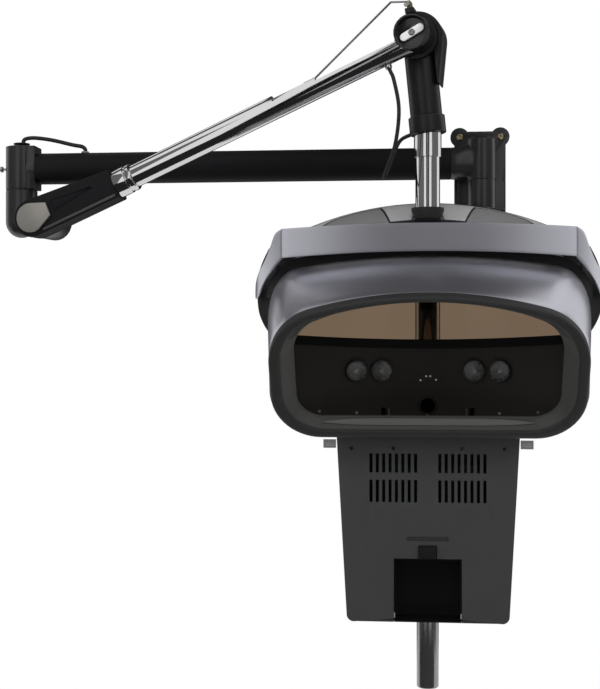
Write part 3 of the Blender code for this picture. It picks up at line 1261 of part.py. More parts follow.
def make_body(unit):
    """Build the body box: rear shell, front panel with vents and bay, bay liner, latch and trim."""
    panel_back = BODY_FRONT_Y + PANEL_THICKNESS
    shell_front = panel_back + GAP
    depth = BODY_BACK_Y - shell_front
    outline = body_outline(0, BODY_TOP, BODY_BOTTOM)
    shell = plate_mesh("body_rear_shell", outline, depth)
    middle = (shell_front + BODY_BACK_Y) / 2
    upright = (pi / 2, 0, 0)
    shell = place("body_rear_shell", shell, unit, "dark_grey", (0, middle, 0), upright)
    outline = body_outline(BODY_WALL, BODY_TOP - BODY_WALL, BODY_BOTTOM + BODY_WALL)
    hollow = plate_mesh("body_hollow", outline, depth)
    cut(shell, place("body_hollow_cutter", hollow, unit, None, (0, middle - BODY_WALL, 0), upright))
    height = BODY_TOP - BODY_BOTTOM
    hole = cylinder_mesh("body_pole_hole", POLE_RADIUS + RUNNING, 2 * height)
    cut(shell, place("body_pole_cutter", hole, unit, None, (0, 0, BODY_BOTTOM - height / 2)))
    side = BAY_HALF + GAP
    bay_back = panel_back + BAY_DEPTH
    low = (-side, BODY_FRONT_Y - BAY_DEPTH, BODY_BOTTOM - BODY_WALL * 2)
    high = (side, bay_back + GAP, BODY_BOTTOM + BODY_WALL * 2)
    cut(shell, place("bay_floor_cutter", block_mesh("bay_floor", low, high), unit, None))

    outline = body_outline(0, BODY_TOP, BODY_BOTTOM, PANEL_ARCH)
    panel = plate_mesh("body_front_panel", outline, PANEL_THICKNESS)
    panel_y = BODY_FRONT_Y + PANEL_THICKNESS / 2
    panel = place("body_front_panel", panel, unit, "dark_grey", (0, panel_y, 0), upright)
    boxes = []
    for row_z, row_height in VENT_ROWS:
        for k in range(VENT_COUNT):
            x = VENT_INNER_X + k * VENT_PITCH
            for sign in (-1, 1):
                size = Matrix.Diagonal((VENT_WIDTH, 4 * PANEL_THICKNESS, row_height, 1))
                boxes.append(Matrix.Translation((sign * x, panel_y, row_z)) @ size)
    unit_box = block_mesh("vent", (-0.5, -0.5, -0.5), (0.5, 0.5, 0.5))
    cut(panel, place("vents_cutter", copies_mesh("vents", unit_box, boxes), unit, None))
    low = (-side, BODY_FRONT_Y - PANEL_THICKNESS, BODY_BOTTOM - BODY_WALL)
    high = (side, panel_back + PANEL_THICKNESS, BAY_TOP)
    cut(panel, place("bay_cutter", block_mesh("bay_mouth", low, high), unit, None))
    side = LATCH_HALF + RUNNING
    low = (-side, BODY_FRONT_Y - PANEL_THICKNESS, BAY_TOP - PANEL_THICKNESS)
    high = (side, panel_back + PANEL_THICKNESS, BAY_TOP + LATCH_HEIGHT + RUNNING)
    cut(panel, place("latch_cutter", block_mesh("latch_mouth", low, high), unit, None))
    make_bay(unit, panel_back)
    make_trim(unit, panel)


def make_bay(unit, panel_back):
    """Build the open bay's liner and the latch tab above it."""
    ceiling = BAY_TOP - GAP
    start = panel_back + GAP
    end = panel_back + BAY_DEPTH
    low = (-BAY_HALF, start, BODY_BOTTOM)
    high = (BAY_HALF, end, ceiling)
    liner = place("bay_liner", block_mesh("bay_liner", low, high), unit, "liner_black")
    low = (BAY_WALL - BAY_HALF, start - BAY_WALL, BODY_BOTTOM + BAY_WALL)
    high = (BAY_HALF - BAY_WALL, end - BAY_WALL, ceiling - BAY_WALL)
    cut(liner, place("bay_hollow_cutter", block_mesh("bay_hollow", low, high), unit, None))
    low = (-LATCH_HALF, -LATCH_DEPTH / 2, 0)
    high = (LATCH_HALF, LATCH_DEPTH / 2, LATCH_HEIGHT)
    latch_y = BODY_FRONT_Y - LATCH_PROUD + LATCH_DEPTH / 2
    holder = empty("latch_axis", unit, (0, latch_y, BAY_TOP))
    latch = place("latch_tab", block_mesh("latch_tab", low, high), holder, "liner_black")
    round_edges(latch, LATCH_PROUD / 3)


def make_trim(unit, panel):
    """Add the side ears and the bare raised label to the panel."""
    for side in (-1, 1):
        inner = side * (BODY_TOP_HALF - EAR_THICKNESS)
        outer = side * (BODY_TOP_HALF + EAR_OUT)
        low = (min(inner, outer), BODY_FRONT_Y, BODY_TOP - EAR_DROP - EAR_HEIGHT)
        high = (max(inner, outer), BODY_FRONT_Y + EAR_THICKNESS, BODY_TOP - EAR_DROP)
        join(panel, place(f"ear_helper_{side + 2}", block_mesh("panel_ear", low, high), unit, None))
    low = (-LABEL_HALF, BODY_FRONT_Y - LABEL_THICKNESS, LABEL_Z - LABEL_HEIGHT / 2)
    high = (LABEL_HALF, BODY_FRONT_Y + LABEL_THICKNESS, LABEL_Z + LABEL_HEIGHT / 2)
    join(panel, place("label_helper", block_mesh("label_plate", low, high), unit, None))


def make_inside(unit):
    """Build what the body holds: pole clamp, water tank, steam generator and control board."""
    bore = POLE_RADIUS + GAP
    clamp = pipe_mesh("pole_clamp", CLAMP_RADIUS, bore, CLAMP_HEIGHT)
    clamp = place("pole_clamp", clamp, unit, "brushed_steel", (0, 0, CLAMP_Z - CLAMP_HEIGHT))
    back = BODY_BACK_Y - BODY_WALL - GAP
    low = (-CLAMP_ARM_HALF, CLAMP_ARM_START, 0)
    arm = block_mesh("clamp_arm", low, (CLAMP_ARM_HALF, back, CLAMP_HEIGHT))
    join(clamp, place("clamp_arm_helper", arm, unit, None, (0, 0, CLAMP_Z - CLAMP_HEIGHT)))

    floor = BODY_BOTTOM + BODY_WALL + GAP
    tank_y = BODY_BACK_Y - BODY_WALL - GAP
    low = (BODY_CORNER - BODY_BOTTOM_HALF, tank_y - TANK_DEPTH, floor)
    high = (-BAY_HALF - 2 * GAP, tank_y, floor + TANK_HEIGHT)
    tank = place("water_tank", block_mesh("water_tank", low, high), unit, "clear_tank")
    round_edges(tank, TANK_CORNER)
    generator = cylinder_mesh("steam_generator", GENERATOR_RADIUS, GENERATOR_HEIGHT)
    seat = (BAY_HALF + GENERATOR_RADIUS + 2 * GAP, tank_y - GENERATOR_RADIUS, floor)
    place("steam_generator", generator, unit, "brushed_steel", seat)
    low = (-BOARD_HALF, back - BOARD_THICKNESS, CLAMP_Z - CLAMP_HEIGHT - BOARD_HEIGHT)
    high = (BOARD_HALF, back, CLAMP_Z - CLAMP_HEIGHT - 2 * GAP)
    place("control_board", block_mesh("control_board", low, high), unit, "board_green")


def main():
    """Build every piece under its body's empty."""
    clear_scene()
    wall = empty("wall_axis", None, (0, 0, 0))
    boom = empty("boom_axis", wall, (0, -SWIVEL_REACH, BOOM_Z))
    elbow = empty("elbow_axis", wall, (-BOOM_LENGTH, -SWIVEL_REACH, ARM_PIVOT_Z), (0, 0, -ARM_YAW))
    arm = empty("arm_axis", elbow, (HUB_REACH, -ARM_OFFSET, 0), (0, -ARM_RISE, 0))
    knuckle = empty("knuckle_axis", arm, (ARM_LENGTH, ARM_OFFSET, 0), (0, ARM_RISE - STEM_LEAN, 0))
    upright = Matrix.Rotation(STEM_LEAN, 3, "Y") @ Matrix.Rotation(ARM_YAW, 3, "Z")
    hanger = empty("pole_axis", knuckle, (0, 0, -STEM_DROP), upright.to_euler())
    unit = empty("unit_datum", hanger, (0, 0, -UNIT_DROP))

    make_wall_bracket(wall)
    make_boom(boom)
    make_elbow_top(boom)
    make_elbow(elbow)
    make_arm(arm)
    make_arm_end(arm)
    make_strap(arm)
    collar = make_knuckle(knuckle)
    make_pole(hanger, collar)
    make_service_cable(arm, hanger)
    make_hood(unit)
    make_band(unit)
    make_top(unit)
    make_liner(unit)
    make_rear_cover(unit)
    make_lamps(unit)
    make_body(unit)
    make_inside(unit)


main()
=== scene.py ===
"""Hanging hair steamer: the visual pieces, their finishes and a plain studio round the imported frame.

Metres, +Z up, in the frame's own coordinates: the wall is at y = 0 and the hood faces -Y.
"""

import json
import logging
from collections.abc import Callable, Sequence
from dataclasses import dataclass, field
from enum import Enum
from math import atan2, cos, pi, radians, sin, sqrt

import bpy
from mathutils import Matrix, Vector


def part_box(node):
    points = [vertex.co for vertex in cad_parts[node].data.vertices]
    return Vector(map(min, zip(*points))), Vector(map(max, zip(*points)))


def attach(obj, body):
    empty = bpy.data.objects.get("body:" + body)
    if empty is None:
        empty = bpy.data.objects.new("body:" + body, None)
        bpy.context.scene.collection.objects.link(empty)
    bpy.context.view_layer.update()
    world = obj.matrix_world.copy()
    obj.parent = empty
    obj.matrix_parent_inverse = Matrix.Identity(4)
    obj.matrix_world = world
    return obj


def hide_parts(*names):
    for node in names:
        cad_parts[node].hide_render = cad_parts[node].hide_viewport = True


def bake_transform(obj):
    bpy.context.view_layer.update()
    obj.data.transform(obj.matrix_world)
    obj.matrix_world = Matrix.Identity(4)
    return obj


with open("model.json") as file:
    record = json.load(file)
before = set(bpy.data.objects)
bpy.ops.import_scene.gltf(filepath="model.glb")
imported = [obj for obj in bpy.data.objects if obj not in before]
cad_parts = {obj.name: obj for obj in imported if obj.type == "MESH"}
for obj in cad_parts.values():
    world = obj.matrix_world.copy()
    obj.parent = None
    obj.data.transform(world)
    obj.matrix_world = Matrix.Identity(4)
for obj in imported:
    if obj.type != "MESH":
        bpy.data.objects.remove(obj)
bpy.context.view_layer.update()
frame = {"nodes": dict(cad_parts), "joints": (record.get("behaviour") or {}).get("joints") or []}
log = logging.getLogger("hair_steamer")

Flat = tuple[float, float]
Point = tuple[float, float, float]
Column = tuple[float, float, float, float]
Piece = bpy.types.Object

WHITE = (1.0, 1.0, 1.0, 1.0)
ALONG_X = Matrix.Rotation(pi / 2, 4, "Y")
TO_VIEWER = Matrix.Rotation(pi / 2, 4, "X")
MIRROR = Matrix.Diagonal((-1.0, 1.0, 1.0, 1.0))


class Signal:
    """A shader socket that takes part in arithmetic."""

    def __init__(self, recipe: "Recipe", socket: bpy.types.NodeSocket) -> None:
        """Keep the socket and the recipe that it belongs to."""
        self.recipe = recipe
        self.socket = socket

    def maths(self, operation: str, first: "Signal | float", second: "Signal | float") -> "Signal":
        """Return the result of a Math node with an operation and two values or signals."""
        return self.recipe.node("ShaderNodeMath", {"operation": operation}, {0: first, 1: second})

    def __add__(self, other: "Signal | float") -> "Signal":
        """Return self + other."""
        return self.maths("ADD", self, other)

    def __radd__(self, other: float) -> "Signal":
        """Return other + self."""
        return self.maths("ADD", other, self)

    def __sub__(self, other: "Signal | float") -> "Signal":
        """Return self - other."""
        return self.maths("SUBTRACT", self, other)

    def __rsub__(self, other: float) -> "Signal":
        """Return other - self."""
        return self.maths("SUBTRACT", other, self)

    def __mul__(self, other: "Signal | float") -> "Signal":
        """Return self * other."""
        return self.maths("MULTIPLY", self, other)

    def __rmul__(self, other: float) -> "Signal":
        """Return other * self."""
        return self.maths("MULTIPLY", other, self)

    def highest(self, other: "Signal | float") -> "Signal":
        """Return the larger of two values."""
        return self.maths("MAXIMUM", self, other)


class Recipe:
    """A node tree with one method for any node, and short forms for the textures in use."""

    def __init__(self, tree: bpy.types.NodeTree) -> None:
        """Keep the node tree."""
        self.tree = tree

    def node(self, kind: str, settings: dict | None = None, inputs: dict | None = None,
             output: int | str = 0) -> Signal:
        """Add a node, set it up and link it.

        Args:
            kind: the node's type name.
            settings: attributes that are set first.
            inputs: socket name or index, with a value or a signal.
            output: name or index of the socket to return.

        Returns:
            The chosen output as a signal.
        """
        made = self.tree.nodes.new(kind)
        for key, value in (settings or {}).items():
            setattr(made, key, value)
        for key, value in (inputs or {}).items():
            if isinstance(value, Signal):
                self.tree.links.new(value.socket, made.inputs[key])
            else:
                made.inputs[key].default_value = value
        return Signal(self, made.outputs[output])

    def feed(self, signal: Signal, node: bpy.types.Node, socket: str) -> None:
        """Link a signal to a node's input."""
        self.tree.links.new(signal.socket, node.inputs[socket])

    def stretched(self, stretch: Point) -> Signal:
        """Return the object's coordinates, stretched along its axes."""
        spot = self.node("ShaderNodeTexCoord", output="Object")
        return self.node("ShaderNodeMapping", inputs={"Vector": spot, "Scale": stretch})

    def noise(self, scale: float, detail: float = 3.0, stretch: Point = (1.0, 1.0, 1.0)) -> Signal:
        """Return noise from 0 to 1, with features per metre, finer layers and a stretch of each axis."""
        inputs = {"Vector": self.stretched(stretch), "Scale": scale, "Detail": detail}
        return self.node("ShaderNodeTexNoise", inputs=inputs)

    def flakes(self, scale: float) -> Signal:
        """Return a random value for each fleck of a cell pattern."""
        inputs = {"Vector": self.stretched((1.0, 1.0, 1.0)), "Scale": scale}
        colour = self.node("ShaderNodeTexVoronoi", inputs=inputs, output="Color")
        return self.node("ShaderNodeSeparateColor", inputs={0: colour})

    def mixed(self, share: Signal, first: Sequence[float], second: Sequence[float]) -> Signal:
        """Return a colour between two, the first where the share is 0."""
        settings = {"data_type": "RGBA"}
        return self.node("ShaderNodeMix", settings, {0: share, 6: (*first, 1.0), 7: (*second, 1.0)}, 2)

    def relief(self, height: Signal, distance: float) -> Signal:
        """Return a normal bent by a height field of a given depth."""
        return self.node("ShaderNodeBump", inputs={"Height": height, "Distance": distance})


def shades(colour: Point, spread: float) -> tuple[Point, Point]:
    """Return a darker and a lighter shade of a colour.

    Args:
        colour: the middle colour.
        spread: the share by which the shades differ from it.

    Returns:
        The darker and the lighter shade.
    """
    darker = tuple(channel * (1.0 - spread) for channel in colour)
    lighter = tuple(min(channel * (1.0 + spread), 1.0) for channel in colour)
    return darker, lighter


@dataclass(frozen=True)
class Coating:
    """A paint, plating or moulded skin.

    Fields give the record's slot, the colour and shine, and the scale and depth of the grain.
    """

    slot: str
    colour: Point
    roughness: float
    metallic: float = 0.0
    coat: float = 0.0
    mottle: float = 0.06
    mottle_scale: float = 22.0
    smudge: float = 0.06
    grain_scale: float = 1400.0
    grain_depth: float = 0.00003
    grain_stretch: Point = (1.0, 1.0, 1.0)
    flake: float = 0.0
    flake_scale: float = 2600.0
    specular: float = 0.5
    smudge_zoom: float = 3.0
    coat_roughness: float = 0.08

    def dress(self, recipe: Recipe, shader: bpy.types.Node) -> None:
        """Wire the coating's colour, shine and grain into a shader.

        Args:
            recipe: the material's node tree.
            shader: its Principled node.
        """
        darker, lighter = shades(self.colour, self.mottle)
        tone = recipe.noise(self.mottle_scale, detail=4.0)
        if self.flake:
            tone = tone * (1.0 - self.flake) + recipe.flakes(self.flake_scale) * self.flake
        recipe.feed(recipe.mixed(tone, darker, lighter), shader, "Base Color")
        grain = recipe.noise(self.grain_scale, detail=2.0, stretch=self.grain_stretch)
        shine = recipe.noise(self.mottle_scale * self.smudge_zoom, detail=5.0, stretch=self.grain_stretch)
        recipe.feed(self.roughness - (0.5 - shine) * self.smudge, shader, "Roughness")
        recipe.feed(recipe.relief(grain, self.grain_depth), shader, "Normal")
        shader.inputs["Metallic"].default_value = self.metallic
        shader.inputs["Coat Weight"].default_value = self.coat
        shader.inputs["Coat Roughness"].default_value = self.coat_roughness
        shader.inputs["Specular IOR Level"].default_value = self.specular


@dataclass(frozen=True)
class ClearSheet:
    """A see-through plastic: its slot, the tint of one surface, its shine, faint haze and ripple."""

    slot: str
    tint: Point
    roughness: float
    haze: float
    ripple_scale: float
    ripple_depth: float
    refraction: float = 1.45
    cloud_scale: float = 9.0
    smear_scale: float = 60.0
    smear: float = 0.2

    def dress(self, recipe: Recipe, shader: bpy.types.Node) -> None:
        """Wire the tint, haze and ripple into a shader.

        Args:
            recipe: the material's node tree.
            shader: its Principled node.
        """
        darker, lighter = shades(self.tint, self.haze)
        recipe.feed(recipe.mixed(recipe.noise(self.cloud_scale), darker, lighter), shader, "Base Color")
        smear = recipe.noise(self.smear_scale, detail=4.0) * self.haze * self.smear
        recipe.feed(self.roughness + smear, shader, "Roughness")
        ripple = recipe.noise(self.ripple_scale, detail=1.0)
        recipe.feed(recipe.relief(ripple, self.ripple_depth), shader, "Normal")
        shader.inputs["Transmission Weight"].default_value = 1.0
        shader.inputs["IOR"].default_value = self.refraction


def blank(name: str) -> bpy.types.Material:
    """Return a new material that uses nodes."""
    made = bpy.data.materials.new(name)
    made.use_nodes = True
    return made


class Finish(Enum):
    """The finishes of the steamer's pieces."""

    BLACK_PAINT = Coating("black_paint", (0.0075, 0.0074, 0.0082), 0.36, grain_scale=900.0, specular=0.32)
    # A copy of the black paint for the cast parts. Its lighter colour is painted sheen for parts that catch
    # more light, and its specular level is higher.
    SHEEN_BLACK_PAINT = Coating("black_paint", (0.0125, 0.0120, 0.0135), 0.30, grain_scale=900.0, specular=0.55)
    TUBE_BLACK = Coating("black_paint", (0.0085, 0.0083, 0.0092), 0.48, grain_scale=900.0, specular=0.06)
    BLACK_GLOSS = Coating("black_gloss", (0.006, 0.006, 0.0065), 0.20, coat=0.15, grain_depth=0.00001)
    CHROME = Coating("chrome", (0.66, 0.66, 0.67), 0.08, metallic=1.0, mottle=0.03, smudge=0.05,
                     grain_depth=0.000002)
    STEEL = Coating("brushed_steel", (0.40, 0.39, 0.37), 0.34, metallic=1.0, smudge=0.14,
                    grain_stretch=(0.05, 1.0, 1.0), grain_depth=0.000006)
    CAP_STEEL = Coating("brushed_steel", (0.34, 0.325, 0.30), 0.46, metallic=0.75, mottle=0.10, smudge=0.10,
                        grain_stretch=(0.2, 1.0, 1.0), grain_depth=0.00003)
    ZINC = Coating("brass_zinc", (0.50, 0.42, 0.26), 0.38, metallic=1.0, mottle=0.18, smudge=0.2)
    SILVER = Coating("silver_paint", (0.51, 0.51, 0.565), 0.30, metallic=0.95, coat=0.10, mottle=0.05,
                     smudge=0.03, flake=0.3, grain_depth=0.000002)
    PALE_GREY = Coating("pale_grey", (0.32, 0.315, 0.32), 0.48, mottle=0.05, grain_depth=0.00004)
    # A darker copy of the pale grey: painted shade for the recessed leaf pockets on the crown.
    SHADED_LEAF_GREY = Coating("pale_grey", (0.15, 0.147, 0.15), 0.52, mottle=0.05, grain_depth=0.00004)
    EAR_GREY = Coating("pale_grey", (0.20, 0.20, 0.205), 0.45, mottle=0.05, grain_depth=0.00003)
    LAMP_METAL = Coating("brushed_steel", (0.07, 0.07, 0.068), 0.42, metallic=0.9, smudge=0.14)
    WHITE_DOT = Coating("lens", (0.80, 0.80, 0.78), 0.35, mottle=0.03, grain_depth=0.00001)
    DARK_GREY = Coating("dark_grey", (0.034, 0.034, 0.035), 0.50, grain_scale=1100.0, grain_depth=0.00005,
                        specular=0.25)
    RING_GREY = Coating("dark_grey", (0.020, 0.020, 0.020), 0.45, grain_scale=1300.0, grain_depth=0.00004,
                        specular=0.25)
    LINER = Coating("liner_black", (0.017, 0.0145, 0.0128), 0.48, grain_scale=1000.0, grain_depth=0.00004,
                    specular=0.15)
    BAY_BLACK = Coating("liner_black", (0.005, 0.0045, 0.0044), 0.50, grain_depth=0.00004, specular=0.10)
    # Near black without shine: painted shade, laid in openings whose inside is dark.
    PAINTED_SHADE_BLACK = Coating("liner_black", (0.0012, 0.0012, 0.0012), 0.9, specular=0.0)
    RUBBER = Coating("rubber", (0.012, 0.012, 0.013), 0.62, mottle=0.12, grain_scale=700.0,
                     grain_depth=0.00005)
    SEAL_BLACK = Coating("rubber", (0.004, 0.004, 0.004), 0.70, mottle=0.12, grain_depth=0.00005,
                         specular=0.15)
    # A paler copy of the dark grey: painted highlight along the sill's edge.
    SILL_HIGHLIGHT_GREY = Coating("dark_grey", (0.066, 0.066, 0.064), 0.36, grain_scale=1300.0, specular=0.35)
    BOARD = Coating("board_green", (0.02, 0.11, 0.05), 0.42, coat=0.3, mottle=0.25, mottle_scale=160.0)
    REVEAL_GREY = Coating("dark_grey", (0.036, 0.036, 0.034), 0.40, grain_scale=1300.0, grain_depth=0.00004,
                          specular=0.35)
    LEVER_WHITE = Coating("chrome", (0.86, 0.86, 0.87), 0.34, metallic=0.5, mottle=0.03, smudge=0.05)
    GUNMETAL = Coating("dark_grey", (0.28, 0.28, 0.284), 0.22, metallic=0.92, mottle=0.10, smudge=0.06,
                       grain_stretch=(1.0, 1.0, 0.1), grain_depth=0.000005)
    OLIVE = Coating("brass_zinc", (0.20, 0.18, 0.10), 0.40, metallic=0.8, mottle=0.15, smudge=0.2)
    AMBER = ClearSheet("amber", (0.168, 0.118, 0.078), 0.02, 0.06, 14.0, 0.00002, 1.12)
    LENS = ClearSheet("lens", (0.30, 0.30, 0.29), 0.10, 0.12, 420.0, 0.0004)
    TANK = ClearSheet("clear_tank", (0.80, 0.85, 0.87), 0.12, 0.10, 40.0, 0.00005)

    def material(self) -> bpy.types.Material:
        """Return this finish's material, made on first use."""
        name = f"{self.name.lower()}_finish"
        found = bpy.data.materials.get(name)
        if found is not None:
            return found
        made = blank(name)
        self.value.dress(Recipe(made.node_tree), made.node_tree.nodes["Principled BSDF"])
        return made


def arc(centre: Flat, radius: float, start: float, end: float, count: int) -> list[Flat]:
    """Return the points that divide an arc from one angle to another in a count of steps."""
    angles = [start + (end - start) * k / count for k in range(count + 1)]
    return [(centre[0] + radius * cos(a), centre[1] + radius * sin(a)) for a in angles]


def eased(share: float) -> float:
    """Return a smooth step from 0 to 1."""
    share = min(max(share, 0.0), 1.0)
    return share * share * (3.0 - 2.0 * share)


def smooth_route(points: Sequence[Point], steps: int) -> list[Vector]:
    """Return points on one smooth curve through a route's own points.

    Args:
        points: the route's points.
        steps: points for each stretch.

    Returns:
        The finer points, the last one included.
    """
    route = [Vector(point) for point in points]
    ends = [2 * route[0] - route[1], *route, 2 * route[-1] - route[-2]]
    fine = []
    for a, b, c, d in zip(ends, ends[1:], ends[2:], ends[3:]):
        for k in range(steps):
            t = k / steps
            second = 2 * a - 5 * b + 4 * c - d
            third = 3 * b - a - 3 * c + d
            fine.append((2 * b + (c - a) * t + second * t**2 + third * t**3) / 2)
    fine.append(route[-1])
    return fine


def route_length(route: Sequence[Vector]) -> float:
    """Return the length of a route from point to point."""
    return sum((b - a).length for a, b in zip(route, route[1:]))


def rectangle(left: float, low: float, right: float, high: float) -> list[Flat]:
    """Return a rectangle's corners in order."""
    return [(left, low), (right, low), (right, high), (left, high)]


def extent(node: str) -> tuple[Vector, Vector]:
    """Return the low and the high corner of a CAD node's box."""
    low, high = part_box(node)
    return Vector(low), Vector(high)


def grid(down: int, across: int, spot: Callable[[float, float], Point]) -> list[list[Point]]:
    """Return rows of points, where spot gives the point at a share of the way down and across."""
    return [[spot(r / down, k / across) for k in range(across + 1)] for r in range(down + 1)]


class Bench:
    """Models one piece at a time with Blender's operators."""

    merge: float = 0.000002
    solid_merge: float = 0.00001
    solid_flat: float = radians(0.6)
    sharp: float = radians(35)
    edge_angle: float = radians(32)
    edge_steps: int = 3
    cut_edge_steps: int = 2
    bore_sides: int = 64
    lead_rounding: int = 4

    @staticmethod
    def begin() -> None:
        """Leave nothing selected."""
        bpy.ops.object.select_all(action="DESELECT")

    def pick(self, piece: Piece) -> None:
        """Select one piece alone and make it active."""
        self.begin()
        piece.select_set(True)
        bpy.context.view_layer.objects.active = piece

    @staticmethod
    def named(name: str) -> Piece:
        """Return the new primitive under its piece's name."""
        piece = bpy.context.object
        piece.name = name
        piece.data.name = name
        return piece

    def edit(self) -> None:
        """Enter edit mode with all of the active piece selected."""
        bpy.ops.object.mode_set(mode="EDIT")
        bpy.ops.mesh.select_all(action="SELECT")

    def closed(self) -> None:
        """Merge doubles, drop loose edges and turn the faces out, in edit mode."""
        bpy.ops.mesh.select_all(action="SELECT")
        bpy.ops.mesh.remove_doubles(threshold=self.merge)
        bpy.ops.mesh.delete_loose(use_verts=True, use_edges=True, use_faces=False)
        bpy.ops.mesh.select_all(action="SELECT")
        bpy.ops.mesh.normals_make_consistent(inside=False)

    def modify(self, piece: Piece, kind: str, **settings: object) -> None:
        """Add a modifier to the active piece and apply it.

        Args:
            piece: the piece.
            kind: the modifier's type.
            settings: its attributes.
        """
        modifier = piece.modifiers.new(kind.lower(), kind)
        for key, value in settings.items():
            setattr(modifier, key, value)
        bpy.ops.object.modifier_apply(modifier=modifier.name)

    def shade(self) -> None:
        """Shade the active piece smooth between its sharp edges."""
        bpy.ops.object.shade_smooth_by_angle(angle=self.sharp)

    def done(self, piece: Piece, place: Matrix, bevel: float = 0.0) -> Piece:
        """Leave edit mode, place the piece, round its edges and shade it.

        Args:
            piece: the active piece.
            place: where it goes, applied to its mesh.
            bevel: the width of its rounded edges, or 0.

        Returns:
            The finished piece, at the origin.
        """
        bpy.ops.object.mode_set(mode="OBJECT")
        piece.matrix_world = place
        bpy.ops.object.transform_apply(location=True, rotation=True, scale=True)
        if bevel:
            self.modify(piece, "BEVEL", width=bevel, segments=self.edge_steps, limit_method="ANGLE",
                        angle_limit=self.edge_angle, miter_outer="MITER_ARC")
        self.shade()
        return piece

    def softened(self, piece: Piece, width: float, angle: float) -> None:
        """Round and shade the edges of a piece after it was cut.

        Args:
            piece: the active piece.
            width: the width of its rounded edges.
            angle: the least angle at an edge that is rounded.
        """
        self.modify(piece, "BEVEL", width=width, segments=self.cut_edge_steps, limit_method="ANGLE",
                    angle_limit=angle)
        self.shade()

    def spun(self, name: str, profile: Sequence[Flat], place: Matrix, bevel: float = 0.0,
             segments: int = 48) -> Piece:
        """Return a closed profile spun about Z.

        Args:
            name: the piece's name.
            profile: (radius, height) points round the section.
            place: where the piece goes.
            bevel: the width of its rounded edges.
            segments: steps of the turn.

        Returns:
            The finished piece.
        """
        self.begin()
        bpy.ops.mesh.primitive_circle_add(vertices=len(profile), radius=1.0)
        piece = self.named(name)
        for vertex, (radius, height) in zip(piece.data.vertices, profile):
            vertex.co = (radius, 0.0, height)
        self.edit()
        bpy.ops.mesh.spin(steps=segments, angle=2 * pi, center=(0.0, 0.0, 0.0), axis=(0.0, 0.0, 1.0))
        self.closed()
        return self.done(piece, place, bevel)

    def plate(self, name: str, outline: Sequence[Flat], thickness: float, place: Matrix,
              bevel: float = 0.0, groove: Point | None = None) -> Piece:
        """Return an outline in XY, extruded up to a thickness, with an optional groove in its top.

        Args:
            name: the piece's name.
            outline: the corners in order.
            thickness: its height along Z.
            place: where the piece goes.
            bevel: the width of its rounded edges.
            groove: distance from the edge, width and depth of a groove loop.

        Returns:
            The finished piece.
        """
        self.begin()
        bpy.ops.mesh.primitive_circle_add(vertices=len(outline), radius=1.0, fill_type="NGON")
        piece = self.named(name)
        for vertex, (x, y) in zip(piece.data.vertices, outline):
            vertex.co = (x, y, 0.0)
        self.edit()
        bpy.ops.mesh.extrude_region_move(TRANSFORM_OT_translate={"value": (0.0, 0.0, thickness)})
        if groove:
            inset, width, depth = groove
            bpy.ops.mesh.inset(thickness=inset)
            bpy.ops.mesh.extrude_region_move(TRANSFORM_OT_translate={"value": (0.0, 0.0, -depth)})
            bpy.ops.mesh.inset(thickness=width)
            bpy.ops.mesh.extrude_region_move(TRANSFORM_OT_translate={"value": (0.0, 0.0, depth)})
        self.closed()
        return self.done(piece, place, bevel)

    def sheet(self, name: str, rows: Sequence[Sequence[Point]], wall: float, place: Matrix,
              bevel: float = 0.0) -> Piece:
        """Return a grid drawn through rows of points, thickened to both sides.

        Args:
            name: the piece's name.
            rows: rows of as many points each.
            wall: its thickness.
            place: where the piece goes.
            bevel: the width of its rounded edges.

        Returns:
            The finished piece.
        """
        self.begin()
        across = len(rows[0]) - 1
        along = len(rows) - 1
        bpy.ops.mesh.primitive_grid_add(x_subdivisions=across, y_subdivisions=along, size=2.0)
        piece = self.named(name)
        for vertex in piece.data.vertices:
            column = round((vertex.co.x + 1.0) / 2.0 * across)
            row = round((vertex.co.y + 1.0) / 2.0 * along)
            vertex.co = rows[row][column]
        self.edit()
        bpy.ops.mesh.normals_make_consistent(inside=False)
        bpy.ops.object.mode_set(mode="OBJECT")
        self.modify(piece, "SOLIDIFY", thickness=wall, offset=0.0, use_even_offset=True)
        self.edit()
        self.closed()
        return self.done(piece, place, bevel)

    def ring(self, name: str, loops: Sequence[Sequence[Point]], place: Matrix, bevel: float = 0.0) -> Piece:
        """Return a closed ring whose section runs through loops of as many points each.

        Args:
            name: the piece's name.
            loops: the loops in order round the section.
            place: where the piece goes.
            bevel: the width of its rounded edges.

        Returns:
            The finished piece.
        """
        self.begin()
        around = len(loops[0])
        bpy.ops.mesh.primitive_torus_add(major_segments=around, minor_segments=len(loops))
        piece = self.named(name)
        for index, vertex in enumerate(piece.data.vertices):
            vertex.co = loops[index % len(loops)][index // len(loops)]
        self.edit()
        self.closed()
        return self.done(piece, place, bevel)

    def refined(self, name: str, node: str, bevel: float) -> Piece:
        """Return a merged copy of a node's solid with its edges rounded.

        Args:
            name: the piece's name.
            node: the CAD node.
            bevel: the width of its rounded edges.

        Returns:
            The finished piece.
        """
        piece = bpy.data.objects.new(name, frame["nodes"][node].data.copy())
        bpy.context.scene.collection.objects.link(piece)
        piece.data.name = name
        piece.data.materials.clear()
        self.pick(piece)
        self.edit()
        bpy.ops.mesh.remove_doubles(threshold=self.solid_merge)
        bpy.ops.mesh.dissolve_limited(angle_limit=self.solid_flat)
        return self.done(piece, Matrix(), bevel)

    def copies(self, master: Piece, places: dict[str, Matrix]) -> list[Piece]:
        """Return copies of a master piece, each with its own mesh, and remove the master.

        Args:
            master: the piece that is modelled once, about its own origin.
            places: the name and place of each copy; a mirrored place is turned out again.

        Returns:
            The copies in order.
        """
        pieces = []
        for name, place in places.items():
            self.pick(master)
            bpy.ops.object.duplicate(linked=False)
            piece = self.done(self.named(name), place)
            if place.determinant() < 0:
                self.edit()
                bpy.ops.mesh.normals_make_consistent(inside=False)
                bpy.ops.object.mode_set(mode="OBJECT")
            pieces.append(piece)
        bpy.data.objects.remove(master, do_unlink=True)
        return pieces

